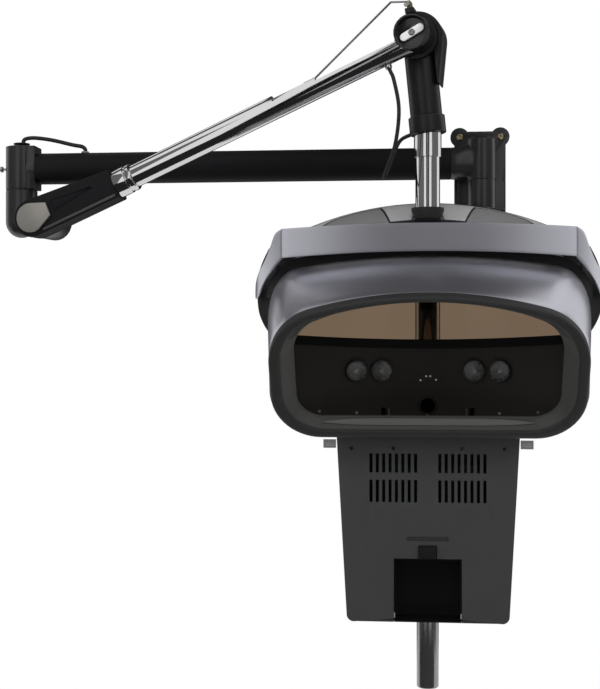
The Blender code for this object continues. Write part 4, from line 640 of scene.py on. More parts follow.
    def lead(self, name: str, route: Sequence[Vector], radius: float) -> Piece:
        """Return a round cable along a route, as a mesh.

        Args:
            name: the piece's name.
            route: points along its middle.
            radius: the cable's radius.

        Returns:
            The finished piece.
        """
        curve = bpy.data.curves.new(name, "CURVE")
        curve.dimensions = "3D"
        curve.bevel_depth = radius
        curve.bevel_resolution = self.lead_rounding
        curve.use_fill_caps = True
        spline = curve.splines.new("POLY")
        spline.points.add(len(route) - 1)
        for point, spot in zip(spline.points, route):
            point.co = (*spot, 1.0)
        piece = bpy.data.objects.new(name, curve)
        bpy.context.scene.collection.objects.link(piece)
        self.pick(piece)
        bpy.ops.object.convert(target="MESH")
        piece = self.named(name)
        self.edit()
        self.closed()
        return self.done(piece, Matrix())

    def cut(self, piece: Piece, boxes: Sequence[tuple[Point, Point]], place: Matrix) -> None:
        """Cut boxes out of a piece.

        Args:
            piece: the piece, left active.
            boxes: low and high corners.
            place: where the boxes' own coordinates lie.
        """
        self.begin()
        cutters = []
        for low, high in boxes:
            size = Vector(high) - Vector(low)
            middle = Matrix.Translation((Vector(low) + Vector(high)) / 2)
            bpy.ops.mesh.primitive_cube_add(size=1.0)
            bpy.context.object.matrix_world = place @ middle @ Matrix.Diagonal((*size, 1.0))
            cutters.append(bpy.context.object)
        for cutter in cutters:
            cutter.select_set(True)
        if len(cutters) > 1:
            bpy.ops.object.join()
        self.subtract(piece, bpy.context.object)

    def bore(self, piece: Piece, radius: float, depth: float, place: Matrix) -> None:
        """Bore a round hole through a piece.

        Args:
            piece: the piece, left active.
            radius: the hole's radius.
            depth: its length, half to either side of its place.
            place: the hole's middle, with its own Z along the hole.
        """
        self.begin()
        bpy.ops.mesh.primitive_cylinder_add(vertices=self.bore_sides, radius=radius, depth=depth)
        bpy.context.object.matrix_world = place
        self.subtract(piece, bpy.context.object)

    def subtract(self, piece: Piece, cutter: Piece) -> None:
        """Take a cutter's shape out of a piece and remove the cutter.

        Args:
            piece: the piece, left active.
            cutter: the object that is cut away.
        """
        self.pick(piece)
        self.modify(piece, "BOOLEAN", object=cutter, operation="DIFFERENCE", solver="EXACT")
        bpy.data.objects.remove(cutter, do_unlink=True)


class Datums:
    """The frames that the pieces are placed in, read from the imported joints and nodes."""

    stem_lean: float = radians(5.8)
    panel_top: float = -0.120

    def __init__(self) -> None:
        """Work out the frames of the boom, the arm, the knuckle and the hood unit."""
        joints = {joint["name"]: joint for joint in frame["joints"]}
        along = Vector(joints["strap_slide"]["axis"])
        away = -Vector(joints["arm_lift"]["axis"])
        level = Vector((along.x, along.y, 0.0)).normalized()
        up = Vector((0.0, 0.0, 1.0))
        stem = level * cos(self.stem_lean) + up * sin(self.stem_lean)
        self.boom = Matrix.Translation(joints["wall_swivel"]["pos_m"])
        self.arm = self.axes(along, away, joints["arm_lift"]["pos_m"])
        self.knuckle = self.axes(stem, away, joints["knuckle_level"]["pos_m"])
        pole = joints["pole_swivel"]["pos_m"]
        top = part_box("body_front_panel")[1][2]
        self.unit = Matrix.Translation((pole[0], pole[1], top - self.panel_top))

    @staticmethod
    def axes(x: Vector, y: Vector, origin: Sequence[float]) -> Matrix:
        """Return a frame from two axes and its origin."""
        turn = Matrix((x, y, x.cross(y))).transposed().to_4x4()
        return Matrix.Translation(origin) @ turn


@dataclass
class Assembly:
    """What every sub-assembly shares: the bench, the datums and the fitting of pieces."""

    bench: Bench
    datums: Datums
    body: str = ""

    def fit(self, piece: Piece, finish: Finish, *nodes: str) -> None:
        """Dress a piece, let it ride on this body and hide the nodes that it stands for.

        Args:
            piece: the finished piece.
            finish: its finish.
            nodes: CAD nodes that it replaces.
        """
        self.dress(piece, finish)
        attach(piece, self.body)
        if nodes:
            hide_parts(*nodes)
        log.info("%s on %s in %s", piece.name, self.body, finish.name.lower())

    def fit_copies(self, master: Piece, places: dict[str, Matrix], finish: Finish, *nodes: str) -> None:
        """Fit copies of a master at named places, each for the next of the CAD nodes, if any."""
        for k, piece in enumerate(self.bench.copies(master, places)):
            self.fit(piece, finish, *nodes[k:k + 1])

    def fit_pair(self, master: Piece, place: Matrix, finish: Finish) -> None:
        """Fit a right-hand master piece and its mirrored copy on the left."""
        places = {f"{master.name}_left": place @ MIRROR, f"{master.name}_right": place}
        self.fit_copies(master, places, finish)

    @staticmethod
    def dress(piece: Piece, finish: Finish) -> None:
        """Give a piece one finish all over."""
        piece.data.materials.clear()
        piece.data.materials.append(finish.material())

    def polish(self, pieces: dict[str, tuple[str, float, Finish]]) -> None:
        """Fit refined copies of CAD nodes, from piece names with a node, edge rounding and finish."""
        for name, (node, bevel, finish) in pieces.items():
            self.fit(self.bench.refined(name, node, bevel), finish, node)

    def pipe(self, name: str, node: str, wall: float) -> None:
        """Fit an upright chrome pipe in a node's place.

        Args:
            name: the piece's name.
            node: the CAD node.
            wall: the pipe's wall.
        """
        low, high = extent(node)
        middle = (low + high) / 2
        radius = (high.y - low.y) / 2
        profile = rectangle(radius - wall, 0.0, radius, high.z - low.z)
        place = Matrix.Translation((middle.x, middle.y, low.z))
        self.fit(self.bench.spun(name, profile, place, bevel=0.0004, segments=80), Finish.CHROME, node)

    def keep(self, finish: Finish, *nodes: str) -> None:
        """Keep CAD nodes in view with a finish."""
        for node in nodes:
            shown = frame["nodes"][node]
            for slot in shown.material_slots:
                slot.material = finish.material()
            log.info("%s kept in %s", node, finish.name.lower())


@dataclass(frozen=True)
class ScrewHead:
    """A pan-head screw's sizes, and the shares that shape its rim, crown and recess."""

    radius: float
    height: float
    recess: float
    depth: float
    rim: float = 0.45
    crown: float = 0.72
    taper: float = 0.8

    def profile(self) -> list[Flat]:
        """Return the head's section with its round recess."""
        floor = self.height - self.depth
        return [(0.0, 0.0), (self.radius, 0.0), (self.radius, self.height * self.rim),
                (self.radius * self.crown, self.height), (self.recess, self.height),
                (self.recess * self.taper, floor), (0.0, floor)]


@dataclass
class WallBracket(Assembly):
    """The fixed bracket: plate, barrel block and wall screws."""

    body: str = "wall_bracket"
    screw: ScrewHead = ScrewHead(0.0050, 0.0028, 0.0024, 0.0012)
    screws: int = 4

    def build(self) -> None:
        """Build and dress the bracket."""
        self.polish({
            "bracket_plate": ("wall_plate", 0.0018, Finish.SHEEN_BLACK_PAINT),
            "bracket_barrel": ("bracket_block", 0.0022, Finish.SHEEN_BLACK_PAINT),
        })
        nodes = [f"wall_screw_{k}" for k in range(1, self.screws + 1)]
        places = {}
        for k, node in enumerate(nodes, 1):
            low, high = extent(node)
            middle = (low + high) / 2
            spot = Matrix.Translation((middle.x, low.y + self.screw.height, middle.z))
            places[f"plate_screw_{k}"] = spot @ TO_VIEWER
        master = self.bench.spun("plate_screw", self.screw.profile(), Matrix(), bevel=0.0002, segments=32)
        self.fit_copies(master, places, Finish.ZINC, *nodes)
        self.keep(Finish.STEEL, "swivel_pin")


@dataclass
class Boom(Assembly):
    """The boom: trumpet hub, tube, elbow head and the short jumper cable over it."""

    body: str = "boom"
    length: float = 0.718
    radius: float = 0.0243
    wall: float = 0.003
    jumper_radius: float = 0.0031
    jumper_rise: tuple[Flat, ...] = ((0.0030, 0.0), (0.0030, 0.0030), (0.0075, 0.0066), (0.0225, 0.0075),
                                     (0.0500, 0.0035), (0.0810, -0.0040))
    jumper_fall: tuple[Flat, ...] = ((-0.0052, 0.0075), (0.0, 0.0030), (0.0, 0.0))
    grommet_x: float = 0.1022
    clearance: float = 0.0003

    def build(self) -> None:
        """Build and dress the boom."""
        self.polish({
            "boom_trumpet": ("boom_hub", 0.0012, Finish.SHEEN_BLACK_PAINT),
            "elbow_head": ("elbow_post", 0.0014, Finish.SHEEN_BLACK_PAINT),
            "elbow_head_cap": ("elbow_top_cap", 0.0006, Finish.BLACK_GLOSS),
            "elbow_thumb_screw": ("elbow_lock_screw", 0.0003, Finish.STEEL),
            "boom_cable_bush": ("boom_grommet", 0.0003, Finish.STEEL),
        })
        low, high = extent("boom_tube")
        middle = (low + high) / 2
        profile = rectangle(self.radius - self.wall, 0.0, self.radius, high.x - low.x)
        place = Matrix.Translation((low.x, middle.y, middle.z)) @ ALONG_X
        pipe = self.bench.spun("boom_pipe", profile, place, bevel=0.0006, segments=64)
        self.fit(pipe, Finish.TUBE_BLACK, "boom_tube")
        self.jumper()

    def jumper(self) -> None:
        """Build the jumper cable from the elbow cap into the boom."""
        origin = self.datums.boom @ Vector((-self.length, 0.0, 0.0))
        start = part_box("elbow_top_cap")[1][2] - origin.z + 3 * self.clearance
        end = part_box("boom_grommet")[1][2] - origin.z + self.clearance
        route = [(x, 0.0, start + z) for x, z in self.jumper_rise]
        route += [(self.grommet_x + x, 0.0, end + z) for x, z in self.jumper_fall]
        path = [origin + point for point in smooth_route(route, steps=6)]
        cable = self.bench.lead("jumper_cable", path, self.jumper_radius)
        self.fit(cable, Finish.RUBBER, "elbow_cable")
        tuple(path[0])
        route_length(path)
        [tuple(point) for point in path]


@dataclass
class Elbow(Assembly):
    """The elbow: round lower hub with its link, pins and washer."""

    body: str = "elbow"

    def build(self) -> None:
        """Build and dress the elbow."""
        self.polish({"elbow_lower_hub": ("elbow_hub", 0.0016, Finish.SHEEN_BLACK_PAINT)})
        self.keep(Finish.STEEL, "elbow_pin", "arm_pivot_pin")
        self.keep(Finish.RUBBER, "elbow_washer")


@dataclass
class SpringArm(Assembly):
    """The balanced arm: casing, pivot cap, ferrule, chrome rail, coil, end ring and gland."""

    body: str = "spring_arm"
    casing_radius: float = 0.029
    casing_length: float = 0.143
    casing_half: float = 0.0225
    casing_depth: float = 0.036
    casing_edge: float = 0.0028
    wedge: tuple[Flat, ...] = ((0.0385, -0.0065), (0.109, 0.0008), (0.109, 0.0026), (0.040, 0.0125))
    wedge_groove: Point = (0.0012, 0.0010, 0.0007)
    trim_wall: float = 0.0010
    trim_edge: float = 0.0002
    strip_ends: Flat = (0.012, 0.004)
    strip_span: Flat = (0.0030, 0.0068)
    tube_drop: float = 0.0075
    tube_radius: float = 0.017
    tube_wall: float = 0.0025
    tube_start: float = 0.103
    tube_edge: float = 0.0003
    tube_edge_angle: float = radians(45)
    trough_start: float = 0.413
    trough_level: float = -0.002
    ring_x: float = 0.635
    ring_radius: float = 0.0256
    collar_radius: float = 0.0212
    collar_length: float = 0.030
    collar_share: float = 0.62
    groove_depth: float = 0.0016
    groove_width: float = 0.0034
    groove_slope: float = 0.0008
    nose_step: float = 0.0004
    nose_taper: Flat = (0.0018, 0.0020)
    clearance: float = 0.0003
    coil_radius: float = 0.0085
    coil_wire: float = 0.0012
    coil_turns: int = 20
    coil_steps: int = 20

    def build(self) -> None:
        """Build and dress the arm."""
        self.polish({
            "arm_end_housing": ("arm_end_ring", 0.0013, Finish.BLACK_GLOSS),
            "arm_pivot_badge": ("pivot_cap", 0.0006, Finish.CAP_STEEL),
            "service_cable_gland": ("cable_gland", 0.0004, Finish.CHROME),
        })
        self.casing()
        self.ferrule()
        self.rail()
        self.coil()

    def rail(self) -> None:
        """Build the chrome tube, cut open to a trough on its upper side and saddled on the end ring."""
        inner = self.tube_radius - self.tube_wall
        profile = rectangle(inner, 0.0, self.tube_radius, self.ring_x - self.tube_start)
        place = self.datums.arm @ Matrix.Translation((self.tube_start, 0.0, -self.tube_drop)) @ ALONG_X
        rail = self.bench.spun("arm_rail", profile, place, segments=80)
        wide = 2 * self.tube_radius
        trough = ((self.trough_start, -wide, self.trough_level), (self.ring_x + wide, wide, wide))
        self.bench.cut(rail, [trough], self.datums.arm)
        saddle = self.datums.arm @ Matrix.Translation((self.ring_x, 0.0, 0.0)) @ TO_VIEWER
        self.bench.bore(rail, self.ring_radius + self.clearance, 4 * wide, saddle)
        self.bench.softened(rail, self.tube_edge, self.tube_edge_angle)
        self.fit(rail, Finish.CHROME, "arm_tube")

    def tangent(self, x: float, y: float) -> float:
        """Return the angle where the upper tangent from a point touches the casing's round end."""
        distance = sqrt(x * x + y * y)
        return atan2(y, x) + atan2(sqrt(distance**2 - self.casing_radius**2), self.casing_radius)

    def casing(self) -> None:
        """Build the casing, from its round end out to the square end that the tube leaves."""
        high = self.casing_half - self.tube_drop
        low = -self.casing_half - self.tube_drop
        start = self.tangent(self.casing_length, high)
        end = 2 * pi - self.tangent(self.casing_length, -low)
        outline = arc((0.0, 0.0), self.casing_radius, start, end, count=40)
        foot = Vector(outline[-1])
        outline += [(self.casing_length, low), (self.casing_length, high)]
        place = self.datums.arm @ Matrix.Translation((0.0, self.casing_depth / 2, 0.0)) @ TO_VIEWER
        casing = self.bench.plate("arm_case", outline, self.casing_depth, place, self.casing_edge)
        self.fit(casing, Finish.TUBE_BLACK, "arm_casing")
        self.case_trim(foot, Vector((self.casing_length, low)))

    def case_trim(self, foot: Vector, toe: Vector) -> None:
        """Build the grooved wedge, and a grey strip along the casing's lower edge that is a painted
        highlight on its bevel.

        Args:
            foot: where the casing's lower edge leaves its round end.
            toe: where that edge ends.
        """
        face = self.datums.arm @ Matrix.Translation((0.0, -self.casing_depth / 2, 0.0)) @ TO_VIEWER
        wedge = self.bench.plate("case_wedge", self.wedge, self.trim_wall, face, self.trim_edge,
                                 self.wedge_groove)
        self.fit(wedge, Finish.TUBE_BLACK)
        along = (toe - foot).normalized()
        inward = Vector((-along.y, along.x))
        start = foot + along * self.strip_ends[0]
        stop = toe - along * self.strip_ends[1]
        near, far = (inward * height for height in self.strip_span)
        outline = [tuple(spot) for spot in (start + near, stop + near, stop + far, start + far)]
        # A grey strip on the black casing: painted highlight along its lower bevel.
        strip = self.bench.plate("case_edge_highlight", outline, self.trim_wall / 2, face, self.trim_edge)
        self.fit(strip, Finish.REVEAL_GREY)

    def ferrule(self) -> None:
        """Build the stepped chrome ferrule where the tube leaves the casing."""
        outer, length = self.collar_radius, self.collar_length
        inner = self.tube_radius + self.clearance
        step = length * self.collar_share
        neck = outer - self.groove_depth
        nose = outer - self.nose_step
        profile = [(inner, 0.0), (outer, 0.0), (outer, step), (neck, step + self.groove_slope),
                   (neck, step + self.groove_width), (nose, step + self.groove_width + self.groove_slope),
                   (nose, length - self.nose_taper[1]), (outer - self.nose_taper[0], length),
                   (inner, length)]
        shift = Matrix.Translation((self.casing_length + self.clearance, 0.0, -self.tube_drop))
        place = self.datums.arm @ shift @ ALONG_X
        ferrule = self.bench.spun("arm_ferrule", profile, place, bevel=0.0003, segments=64)
        self.fit(ferrule, Finish.CHROME, "arm_collar")

    def coil(self) -> None:
        """Build the balance spring's coil, as long as the CAD spring, from the arm to the slider."""
        inverse = self.datums.arm.inverted()
        reach = [(inverse @ vertex.co).x for vertex in frame["nodes"]["balance_spring"].data.vertices]
        start = min(reach) + self.coil_wire
        end = max(reach) - self.coil_wire
        steps = self.coil_turns * self.coil_steps
        route = []
        for k in range(steps + 1):
            turn = 2 * pi * self.coil_turns * k / steps
            x = start + (end - start) * k / steps
            spot = (x, self.coil_radius * cos(turn), self.coil_radius * sin(turn) - self.tube_drop)
            route.append(self.datums.arm @ Vector(spot))
        coil = self.bench.lead("balance_coil", route, self.coil_wire)
        self.dress(coil, Finish.STEEL)
        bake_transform(coil)
        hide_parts("balance_spring")
        log.info("balance_coil from spring_arm to strap in steel")


@dataclass
class Strap(Assembly):
    """The slider in the arm's trough and the thin levelling strap."""

    body: str = "strap"
    strap_share: float = 0.45

    def build(self) -> None:
        """Build and dress the slider and the strap, which is narrower than its CAD solid."""
        self.polish({"slider_bar": ("strap_slider", 0.0006, Finish.CHROME)})
        strap = self.bench.refined("level_strap", "tension_strap", 0.0003)
        narrow = Matrix.Diagonal((1.0, self.strap_share, 1.0, 1.0))
        strap.data.transform(self.datums.arm @ narrow @ self.datums.arm.inverted())
        self.fit(strap, Finish.STEEL, "tension_strap")


@dataclass
class Knuckle(Assembly):
    """The knuckle: drum, hook cover, lever, lug, stem, ferrule, bush and the hanging service cable."""

    body: str = "knuckle"
    arm_offset: float = 0.045
    lug_radius: float = 0.0295
    lug_height: float = 0.0075
    lug_angle: float = radians(92)
    tab_half: float = 0.0042
    tab_height: float = 0.0125
    tab_wall: float = 0.0012
    tab_shoulder: float = 0.6
    tab_point: float = 0.3
    lever_screw: ScrewHead = ScrewHead(0.0046, 0.0022, 0.0016, 0.0008)
    bush_wall: float = 0.0035
    cable_radius: float = 0.00275
    gland_spot: Point = (0.585, 0.0, -0.0311)
    gland_straight: float = 0.0052
    cable_route: tuple[Point, ...] = (
        (-0.0480, -0.042, 0.0640), (-0.0412, -0.042, 0.0305), (-0.0415, -0.040, 0.0011),
        (-0.0470, -0.034, -0.0309), (-0.0568, -0.023, -0.0566), (-0.0630, -0.004, -0.0695),
        (-0.0585, 0.015, -0.0575), (-0.0470, 0.022, -0.0260), (-0.0380, 0.022, -0.0115),
        (-0.021138, 0.0185, -0.0040))
    stem_drop: float = 0.128

    def build(self) -> None:
        """Build and dress the knuckle."""
        self.polish({
            "knuckle_drum": ("knuckle_housing", 0.0015, Finish.BLACK_PAINT),
            "knuckle_hook": ("knuckle_cover", 0.0010, Finish.BLACK_PAINT),
            "level_arm": ("level_lever", 0.0009, Finish.LEVER_WHITE),
            "strap_anchor": ("strap_lug", 0.0008, Finish.BLACK_PAINT),
            "stem_pipe": ("stem_tube", 0.0005, Finish.BLACK_PAINT),
            "stem_ferrule": ("stem_collar", 0.0012, Finish.BLACK_PAINT),
        })
        self.pipe("pole_bush", "pole_sleeve", self.bush_wall)
        self.keep(Finish.STEEL, "knuckle_pin")
        place = self.datums.knuckle @ Matrix.Translation((0.0, self.lever_front(), 0.0)) @ TO_VIEWER
        profile = self.lever_screw.profile()
        head = self.bench.spun("level_arm_screw", profile, place, bevel=0.0002, segments=32)
        self.fit(head, Finish.STEEL)
        self.strap_tab()
        self.service_cable()

    def strap_tab(self) -> None:
        """Build the thin zinc tab that stands on the lug behind the strap's end."""
        lean = Matrix.Rotation(pi / 2 - self.lug_angle, 4, "Y")
        front = 3 * self.tab_wall - self.arm_offset
        foot = Matrix.Translation((0.0, front, self.lug_radius + self.lug_height))
        half, height = self.tab_half, self.tab_height
        outline = [(-half, 0.0), (half, 0.0), (half, height * self.tab_shoulder),
                   (half * self.tab_point, height), (-half, height)]
        place = self.datums.knuckle @ lean @ foot @ TO_VIEWER
        self.fit(self.bench.plate("strap_tab", outline, self.tab_wall, place, bevel=0.0003), Finish.OLIVE)

    def lever_front(self) -> float:
        """Return the depth of the lever's front in the knuckle's frame."""
        inverse = self.datums.knuckle.inverted()
        return min((inverse @ vertex.co).y for vertex in frame["nodes"]["level_lever"].data.vertices)

    def service_cable(self) -> None:
        """Build the hanging cable from the arm's gland to the rear of the stem's ferrule."""
        hang = self.datums.knuckle @ Vector((0.0, 0.0, -self.stem_drop))
        start = self.datums.arm @ Vector(self.gland_spot)
        straight = self.datums.arm @ (Vector(self.gland_spot) - Vector((0.0, 0.0, self.gland_straight)))
        route = [tuple(start), tuple(straight)]
        route += [tuple(hang + Vector(point)) for point in self.cable_route]
        path = smooth_route(route, steps=6)
        cable = self.bench.lead("service_lead", path, self.cable_radius)
        self.dress(cable, Finish.RUBBER)
        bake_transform(cable)
        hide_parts("service_cable")
        length = route_length(path)
        log.info("%s blends from the arm to the knuckle, %.3f m", cable.name, length)


@dataclass
class Pole(Assembly):
    """The pole through the hood unit, its dark end and its rubber boot."""

    body: str = "unit"
    wall: float = 0.002
    gap: float = 0.0003
    foot_radius: float = 0.0192
    foot_height: float = 0.0100
    foot_sink: float = 0.0065

    def build(self) -> None:
        """Build and dress the pole."""
        self.polish({
            "pole_grip": ("pole_tip", 0.0010, Finish.GUNMETAL),
            "pole_gaiter": ("pole_boot", 0.0004, Finish.RUBBER),
        })
        self.pipe("pole_pipe", "pole", self.wall)
        low, high = extent("pole")
        inner = (high.x - low.x) / 2 + self.gap
        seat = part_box("pole_boot")[0][2] - self.foot_sink
        profile = rectangle(inner, 0.0, self.foot_radius, self.foot_height)
        place = Matrix.Translation(((low.x + high.x) / 2, (low.y + high.y) / 2, seat))
        self.fit(self.bench.spun("gaiter_foot", profile, place, bevel=0.0006), Finish.SEAL_BLACK)


@dataclass(frozen=True)
class MouthShape:
    """The hood mouth's outline and tilt, with the rear outline that the hood runs back to."""

    tilt: float = radians(31.7)
    sill_y: float = -0.110
    sill_z: float = -0.127
    half: float = 0.211
    height: float = 0.2216
    arch: float = 0.046
    low_corner: float = 0.066
    high_corner: float = 0.085
    rear_y: float = -0.070
    rear_flare: float = 0.003
    rear_low: float = -0.116
    rear_high: float = 0.123
    rear_arch: float = 0.020
    rear_corner: float = 0.045
    rear_low_corner: float = 0.050
    low_steps: int = 14
    high_steps: int = 20
    crown_steps: int = 36

    def outline(self, half: float, low: float, high: float, arch: float, low_corner: float,
                high_corner: float) -> list[Flat]:
        """Return a mouth outline: flat sill, rounded corners and an arched top.

        Args:
            half: half its width.
            low: the sill's height.
            high: the crown's height.
            arch: how far the crown rises over its ends.
            low_corner: radius of the lower corners.
            high_corner: radius of the upper corners.

        Returns:
            Its points, from the right end of the sill round to the left.
        """
        radius = (half**2 + arch**2) / (2 * arch)
        centre = high - radius
        rise = sqrt((radius - high_corner) ** 2 - (half - high_corner) ** 2)
        turn = atan2(rise, half - high_corner)
        right = arc((half - low_corner, low + low_corner), low_corner, -pi / 2, 0.0, self.low_steps)
        right += arc((half - high_corner, centre + rise), high_corner, 0.0, turn, self.high_steps)
        crown = arc((0.0, centre), radius, turn, pi - turn, self.crown_steps)[1:-1]
        left = [(-x, height) for x, height in reversed(right)]
        return right + crown + left

    def loop(self, side: float, low: float, high: float, depth: float, corner: float = 0.0) -> list[Point]:
        """Return the mouth's loop, drawn in and set back.

        Args:
            side: inset of the sides.
            low: inset of the sill.
            high: inset of the crown.
            depth: distance behind the mouth's plane.
            corner: radius of the lower corners, or 0 for the mouth's own.

        Returns:
            The loop's points.
        """
        outline = self.outline(self.half - side, low, self.height - high, self.arch,
                               corner or self.low_corner - low / 2, self.high_corner - side)
        return [self.spot(x, t, depth) for x, t in outline]

    def spot(self, x: float, height: float, depth: float) -> Point:
        """Return a point from its distance to the middle, its height over the sill and its depth."""
        across, rise = sin(self.tilt), cos(self.tilt)
        return x, self.sill_y - height * across + depth * rise, self.sill_z + height * rise + depth * across

    def rear_loop(self, inset: float) -> list[Point]:
        """Return the hood's rear loop, drawn in by an inset."""
        outline = self.outline(self.half + self.rear_flare - inset, self.rear_low + inset,
                               self.rear_high - inset, self.rear_arch, self.rear_low_corner,
                               self.rear_corner - inset)
        return [(x, self.rear_y, z) for x, z in outline]


@dataclass
class Hood(Assembly):
    """The hood's outer shells: mouth frame, silver hood, outer band and crowned top."""

    body: str = "unit"
    mouth: MouthShape = MouthShape()
    wall: float = 0.003
    bulge: float = 0.005
    roll: float = 1.7
    flange_width: float = 0.012
    rim_depth: float = 0.010
    rim_edge: float = 0.004
    rim_roll: float = 0.3
    frame_inset: Point = (0.0145, 0.0135, 0.0075)
    frame_nose: Point = (0.0125, 0.0120, 0.0064)
    frame_lead: float = 0.6
    reveal_inset: Point = (0.034, 0.028, 0.012)
    reveal_slope: Point = (0.031, 0.0255, 0.0108)
    reveal_front: Point = (0.0185, 0.0165, 0.0086)
    reveal_nose: Point = (0.0165, 0.0150, 0.0080)
    reveal_leads: Point = (0.4, 0.3, 0.55)
    reveal_round: float = 0.0008
    reveal_corner: float = 0.036
    sill_half: float = 0.1435
    sill_top: float = 0.0262
    sill_fall: float = 0.0062
    sill_back: float = 0.0090
    sill_run: float = 0.0072
    sill_swell: Flat = (0.0010, 0.0012)
    sill_point: float = 0.97
    sill_wall: float = 0.0006
    gap: float = 0.0003
    band_y: float = -0.112
    band_sag: float = 0.010
    crease: float = 0.200
    band_top: float = 0.1655
    band_low: float = 0.1270
    top_drop: float = 0.006
    low_drop: float = 0.008
    band_steps: int = 40
    band_rows: int = 8
    wing_x: float = 0.2455
    wing_depth: float = 0.075
    wing_ends: tuple[Point, ...] = (
        (0.0, 0.1190, 0.1595), (0.15, 0.1090, 0.1530), (0.27, 0.1000, 0.1350), (0.41, 0.0890, 0.1175),
        (0.59, 0.0745, 0.1042), (0.72, 0.0665, 0.0945), (0.83, 0.0655, 0.0850), (0.90, 0.0705, 0.0760))
    cheek_rim: tuple[Flat, ...] = (
        (0.2291, 0.0193), (0.2349, 0.0287), (0.2409, 0.0430), (0.2434, 0.0580), (0.2440, 0.0750),
        (0.2436, 0.0940), (0.2409, 0.1065), (0.2349, 0.1225), (0.2272, 0.1380))
    cheek_y: float = -0.030
    cheek_draw_from: float = 0.6
    cheek_draw: float = 4.0
    cover_half: float = 0.228
    cover_front_half: float = 0.196
    crown_radius: float = 0.463
    front_flat: float = 0.75
    front_y: float = -0.0985
    front_gap: float = 0.0005
    crest_y: float = 0.045
    back_y: float = 0.072
    front_z: float = 0.1535
    ledge_z: float = 0.1745
    crest_z: float = 0.207
    back_z: float = 0.150
    tab_half: float = 0.054
    tab_slant: float = 0.016
    leaf_half: float = 0.172
    leaf_depth: float = 0.030
    leaf_start: float = 0.0005
    leaf_lift: float = 0.0019
    leaf_shadow_rim: float = 0.0026
    leaf_shadow_lift: float = 0.0017
    film: float = 0.0004
    tab_shadow_y: float = 0.0004
    shadow_line_half: float = 0.196
    shadow_line_y: float = 0.0375
    shadow_line_lift: float = 0.0016
    shadow_line_pitch: float = 0.0014

    def build(self) -> None:
        """Build and dress the hood's shells."""
        self.mouth_frame()
        self.reveal()
        self.sill()
        self.shell()
        self.flange()
        self.band()
        self.cheeks()
        self.crown()
        self.leaves()
        self.crown_lines()

    def flange(self) -> None:
        """Build the black flange that closes the slit between the hood's rear edge and the band."""
        loops = zip(self.mouth.rear_loop(0.0), self.mouth.rear_loop(-self.flange_width))
        inner, outer = zip(*[(near, far) for near, far in loops if near[2] > 0.0])
        steps = 3
        rows = [[(x, y + self.wall, z) for x, y, z in self.between(inner, outer, k / steps)]
                for k in range(steps + 1)]
        flange = self.bench.sheet("hood_flange", rows, self.wall / 2, self.datums.unit)
        self.fit(flange, Finish.RUBBER)

    def mouth_frame(self) -> None:
        """Build the dark frame round the mouth, with its rolled front edge."""
        loop, edge, depth = self.mouth.loop, self.rim_edge, self.rim_depth
        rolled, rear = edge * self.rim_roll, 2 * self.wall
        loops = [
            loop(edge, edge, edge, -edge),
            loop(rolled, rolled, rolled, rolled - edge),
            loop(0.0, 0.0, 0.0, 0.0),
            loop(0.0, 0.0, 0.0, depth),
            loop(rear, rear, rear, depth),
            loop(*self.frame_inset, depth),
            loop(*self.frame_inset, -edge * self.frame_lead),
            loop(*self.frame_nose, -edge),
        ]
        ring = self.bench.ring("mouth_frame", loops, self.datums.unit, bevel=0.0010)
        self.fit(ring, Finish.RING_GREY, "mouth_ring")

    def reveal(self) -> None:
        """Build the sloping reveal inside the mouth's frame."""
        loop, depth, corner = self.mouth.loop, self.rim_depth, self.reveal_corner
        lapped = [inset - 4 * self.gap for inset in self.frame_inset]
        rear, front, nose = (-self.rim_edge * lead for lead in self.reveal_leads)
        loops = [
            loop(*lapped, rear),
            loop(*lapped, depth),
            loop(*self.reveal_inset, depth + self.wall, corner),
            loop(*self.reveal_inset, depth, corner),
            loop(*self.reveal_slope, depth - self.reveal_round, corner + self.wall),
            loop(*self.reveal_front, front),
            loop(*self.reveal_nose, nose),
        ]
        self.fit(self.bench.ring("mouth_reveal", loops, self.datums.unit, bevel=0.0008), Finish.REVEAL_GREY)

    def sill_spot(self, down: float, across: float) -> Point:
        """Return a point on the sill's lip, whose paler colour is a painted highlight and which narrows to
        its ends.

        Args:
            down: share of the way from its rear edge to its front edge.
            across: share of the way from left to right.

        Returns:
            The point in the unit's frame.
        """
        side = 2 * across - 1
        share = 0.5 + (down - 0.5) * (1.0 - self.sill_point * abs(side) ** 5)
        base, crown = self.sill_swell
        depth = self.sill_back - self.sill_run * share - base - crown * sin(share * pi)
        return self.mouth.spot(self.sill_half * side, self.sill_top - self.sill_fall * share, depth)

    def sill(self) -> None:
        """Build the rounded lip along the reveal's lower side, paler for a painted highlight on its edge.
        """
        lip = self.bench.sheet("sill_highlight_lip", grid(6, 48, self.sill_spot), self.sill_wall, self.datums.unit)
        self.fit(lip, Finish.SILL_HIGHLIGHT_GREY)

    def shell(self) -> None:
        """Build the silver hood between the mouth and its rear edge."""
        shape, wall, steps = self.mouth, self.wall, 14
        start = self.rim_depth + self.gap
        front, back = shape.loop(0.0, 0.0, 0.0, start), shape.rear_loop(0.0)
        loops = [self.between(front, back, k / steps) for k in range(steps + 1)]
        front, back = shape.loop(wall, wall, wall, start), shape.rear_loop(wall)
        loops += [self.between(front, back, k / steps) for k in range(steps, -1, -1)]
        shell = self.bench.ring("hood_shell", loops, self.datums.unit, bevel=0.0005)
        self.fit(shell, Finish.SILVER, "front_hood")

    def between(self, first: Sequence[Point], second: Sequence[Point], share: float) -> list[Point]:
        """Return a loop part of the way between two loops, with the hood's bulge and its rolled rear.

        Args:
            first: the loop at 0.
            second: the loop at 1.
            share: the way between them.

        Returns:
            The loop's points.
        """
        widen = 1.0 + self.bulge / self.mouth.half * sin(share * pi)
        rise = 1.0 - (1.0 - share) ** self.roll
        loop = []
        for (x, y, z), (far_x, far_y, far_z) in zip(first, second):
            across = (x + (far_x - x) * share) * widen
            loop.append((across, y + (far_y - y) * share, z + (far_z - z) * rise))
        return loop

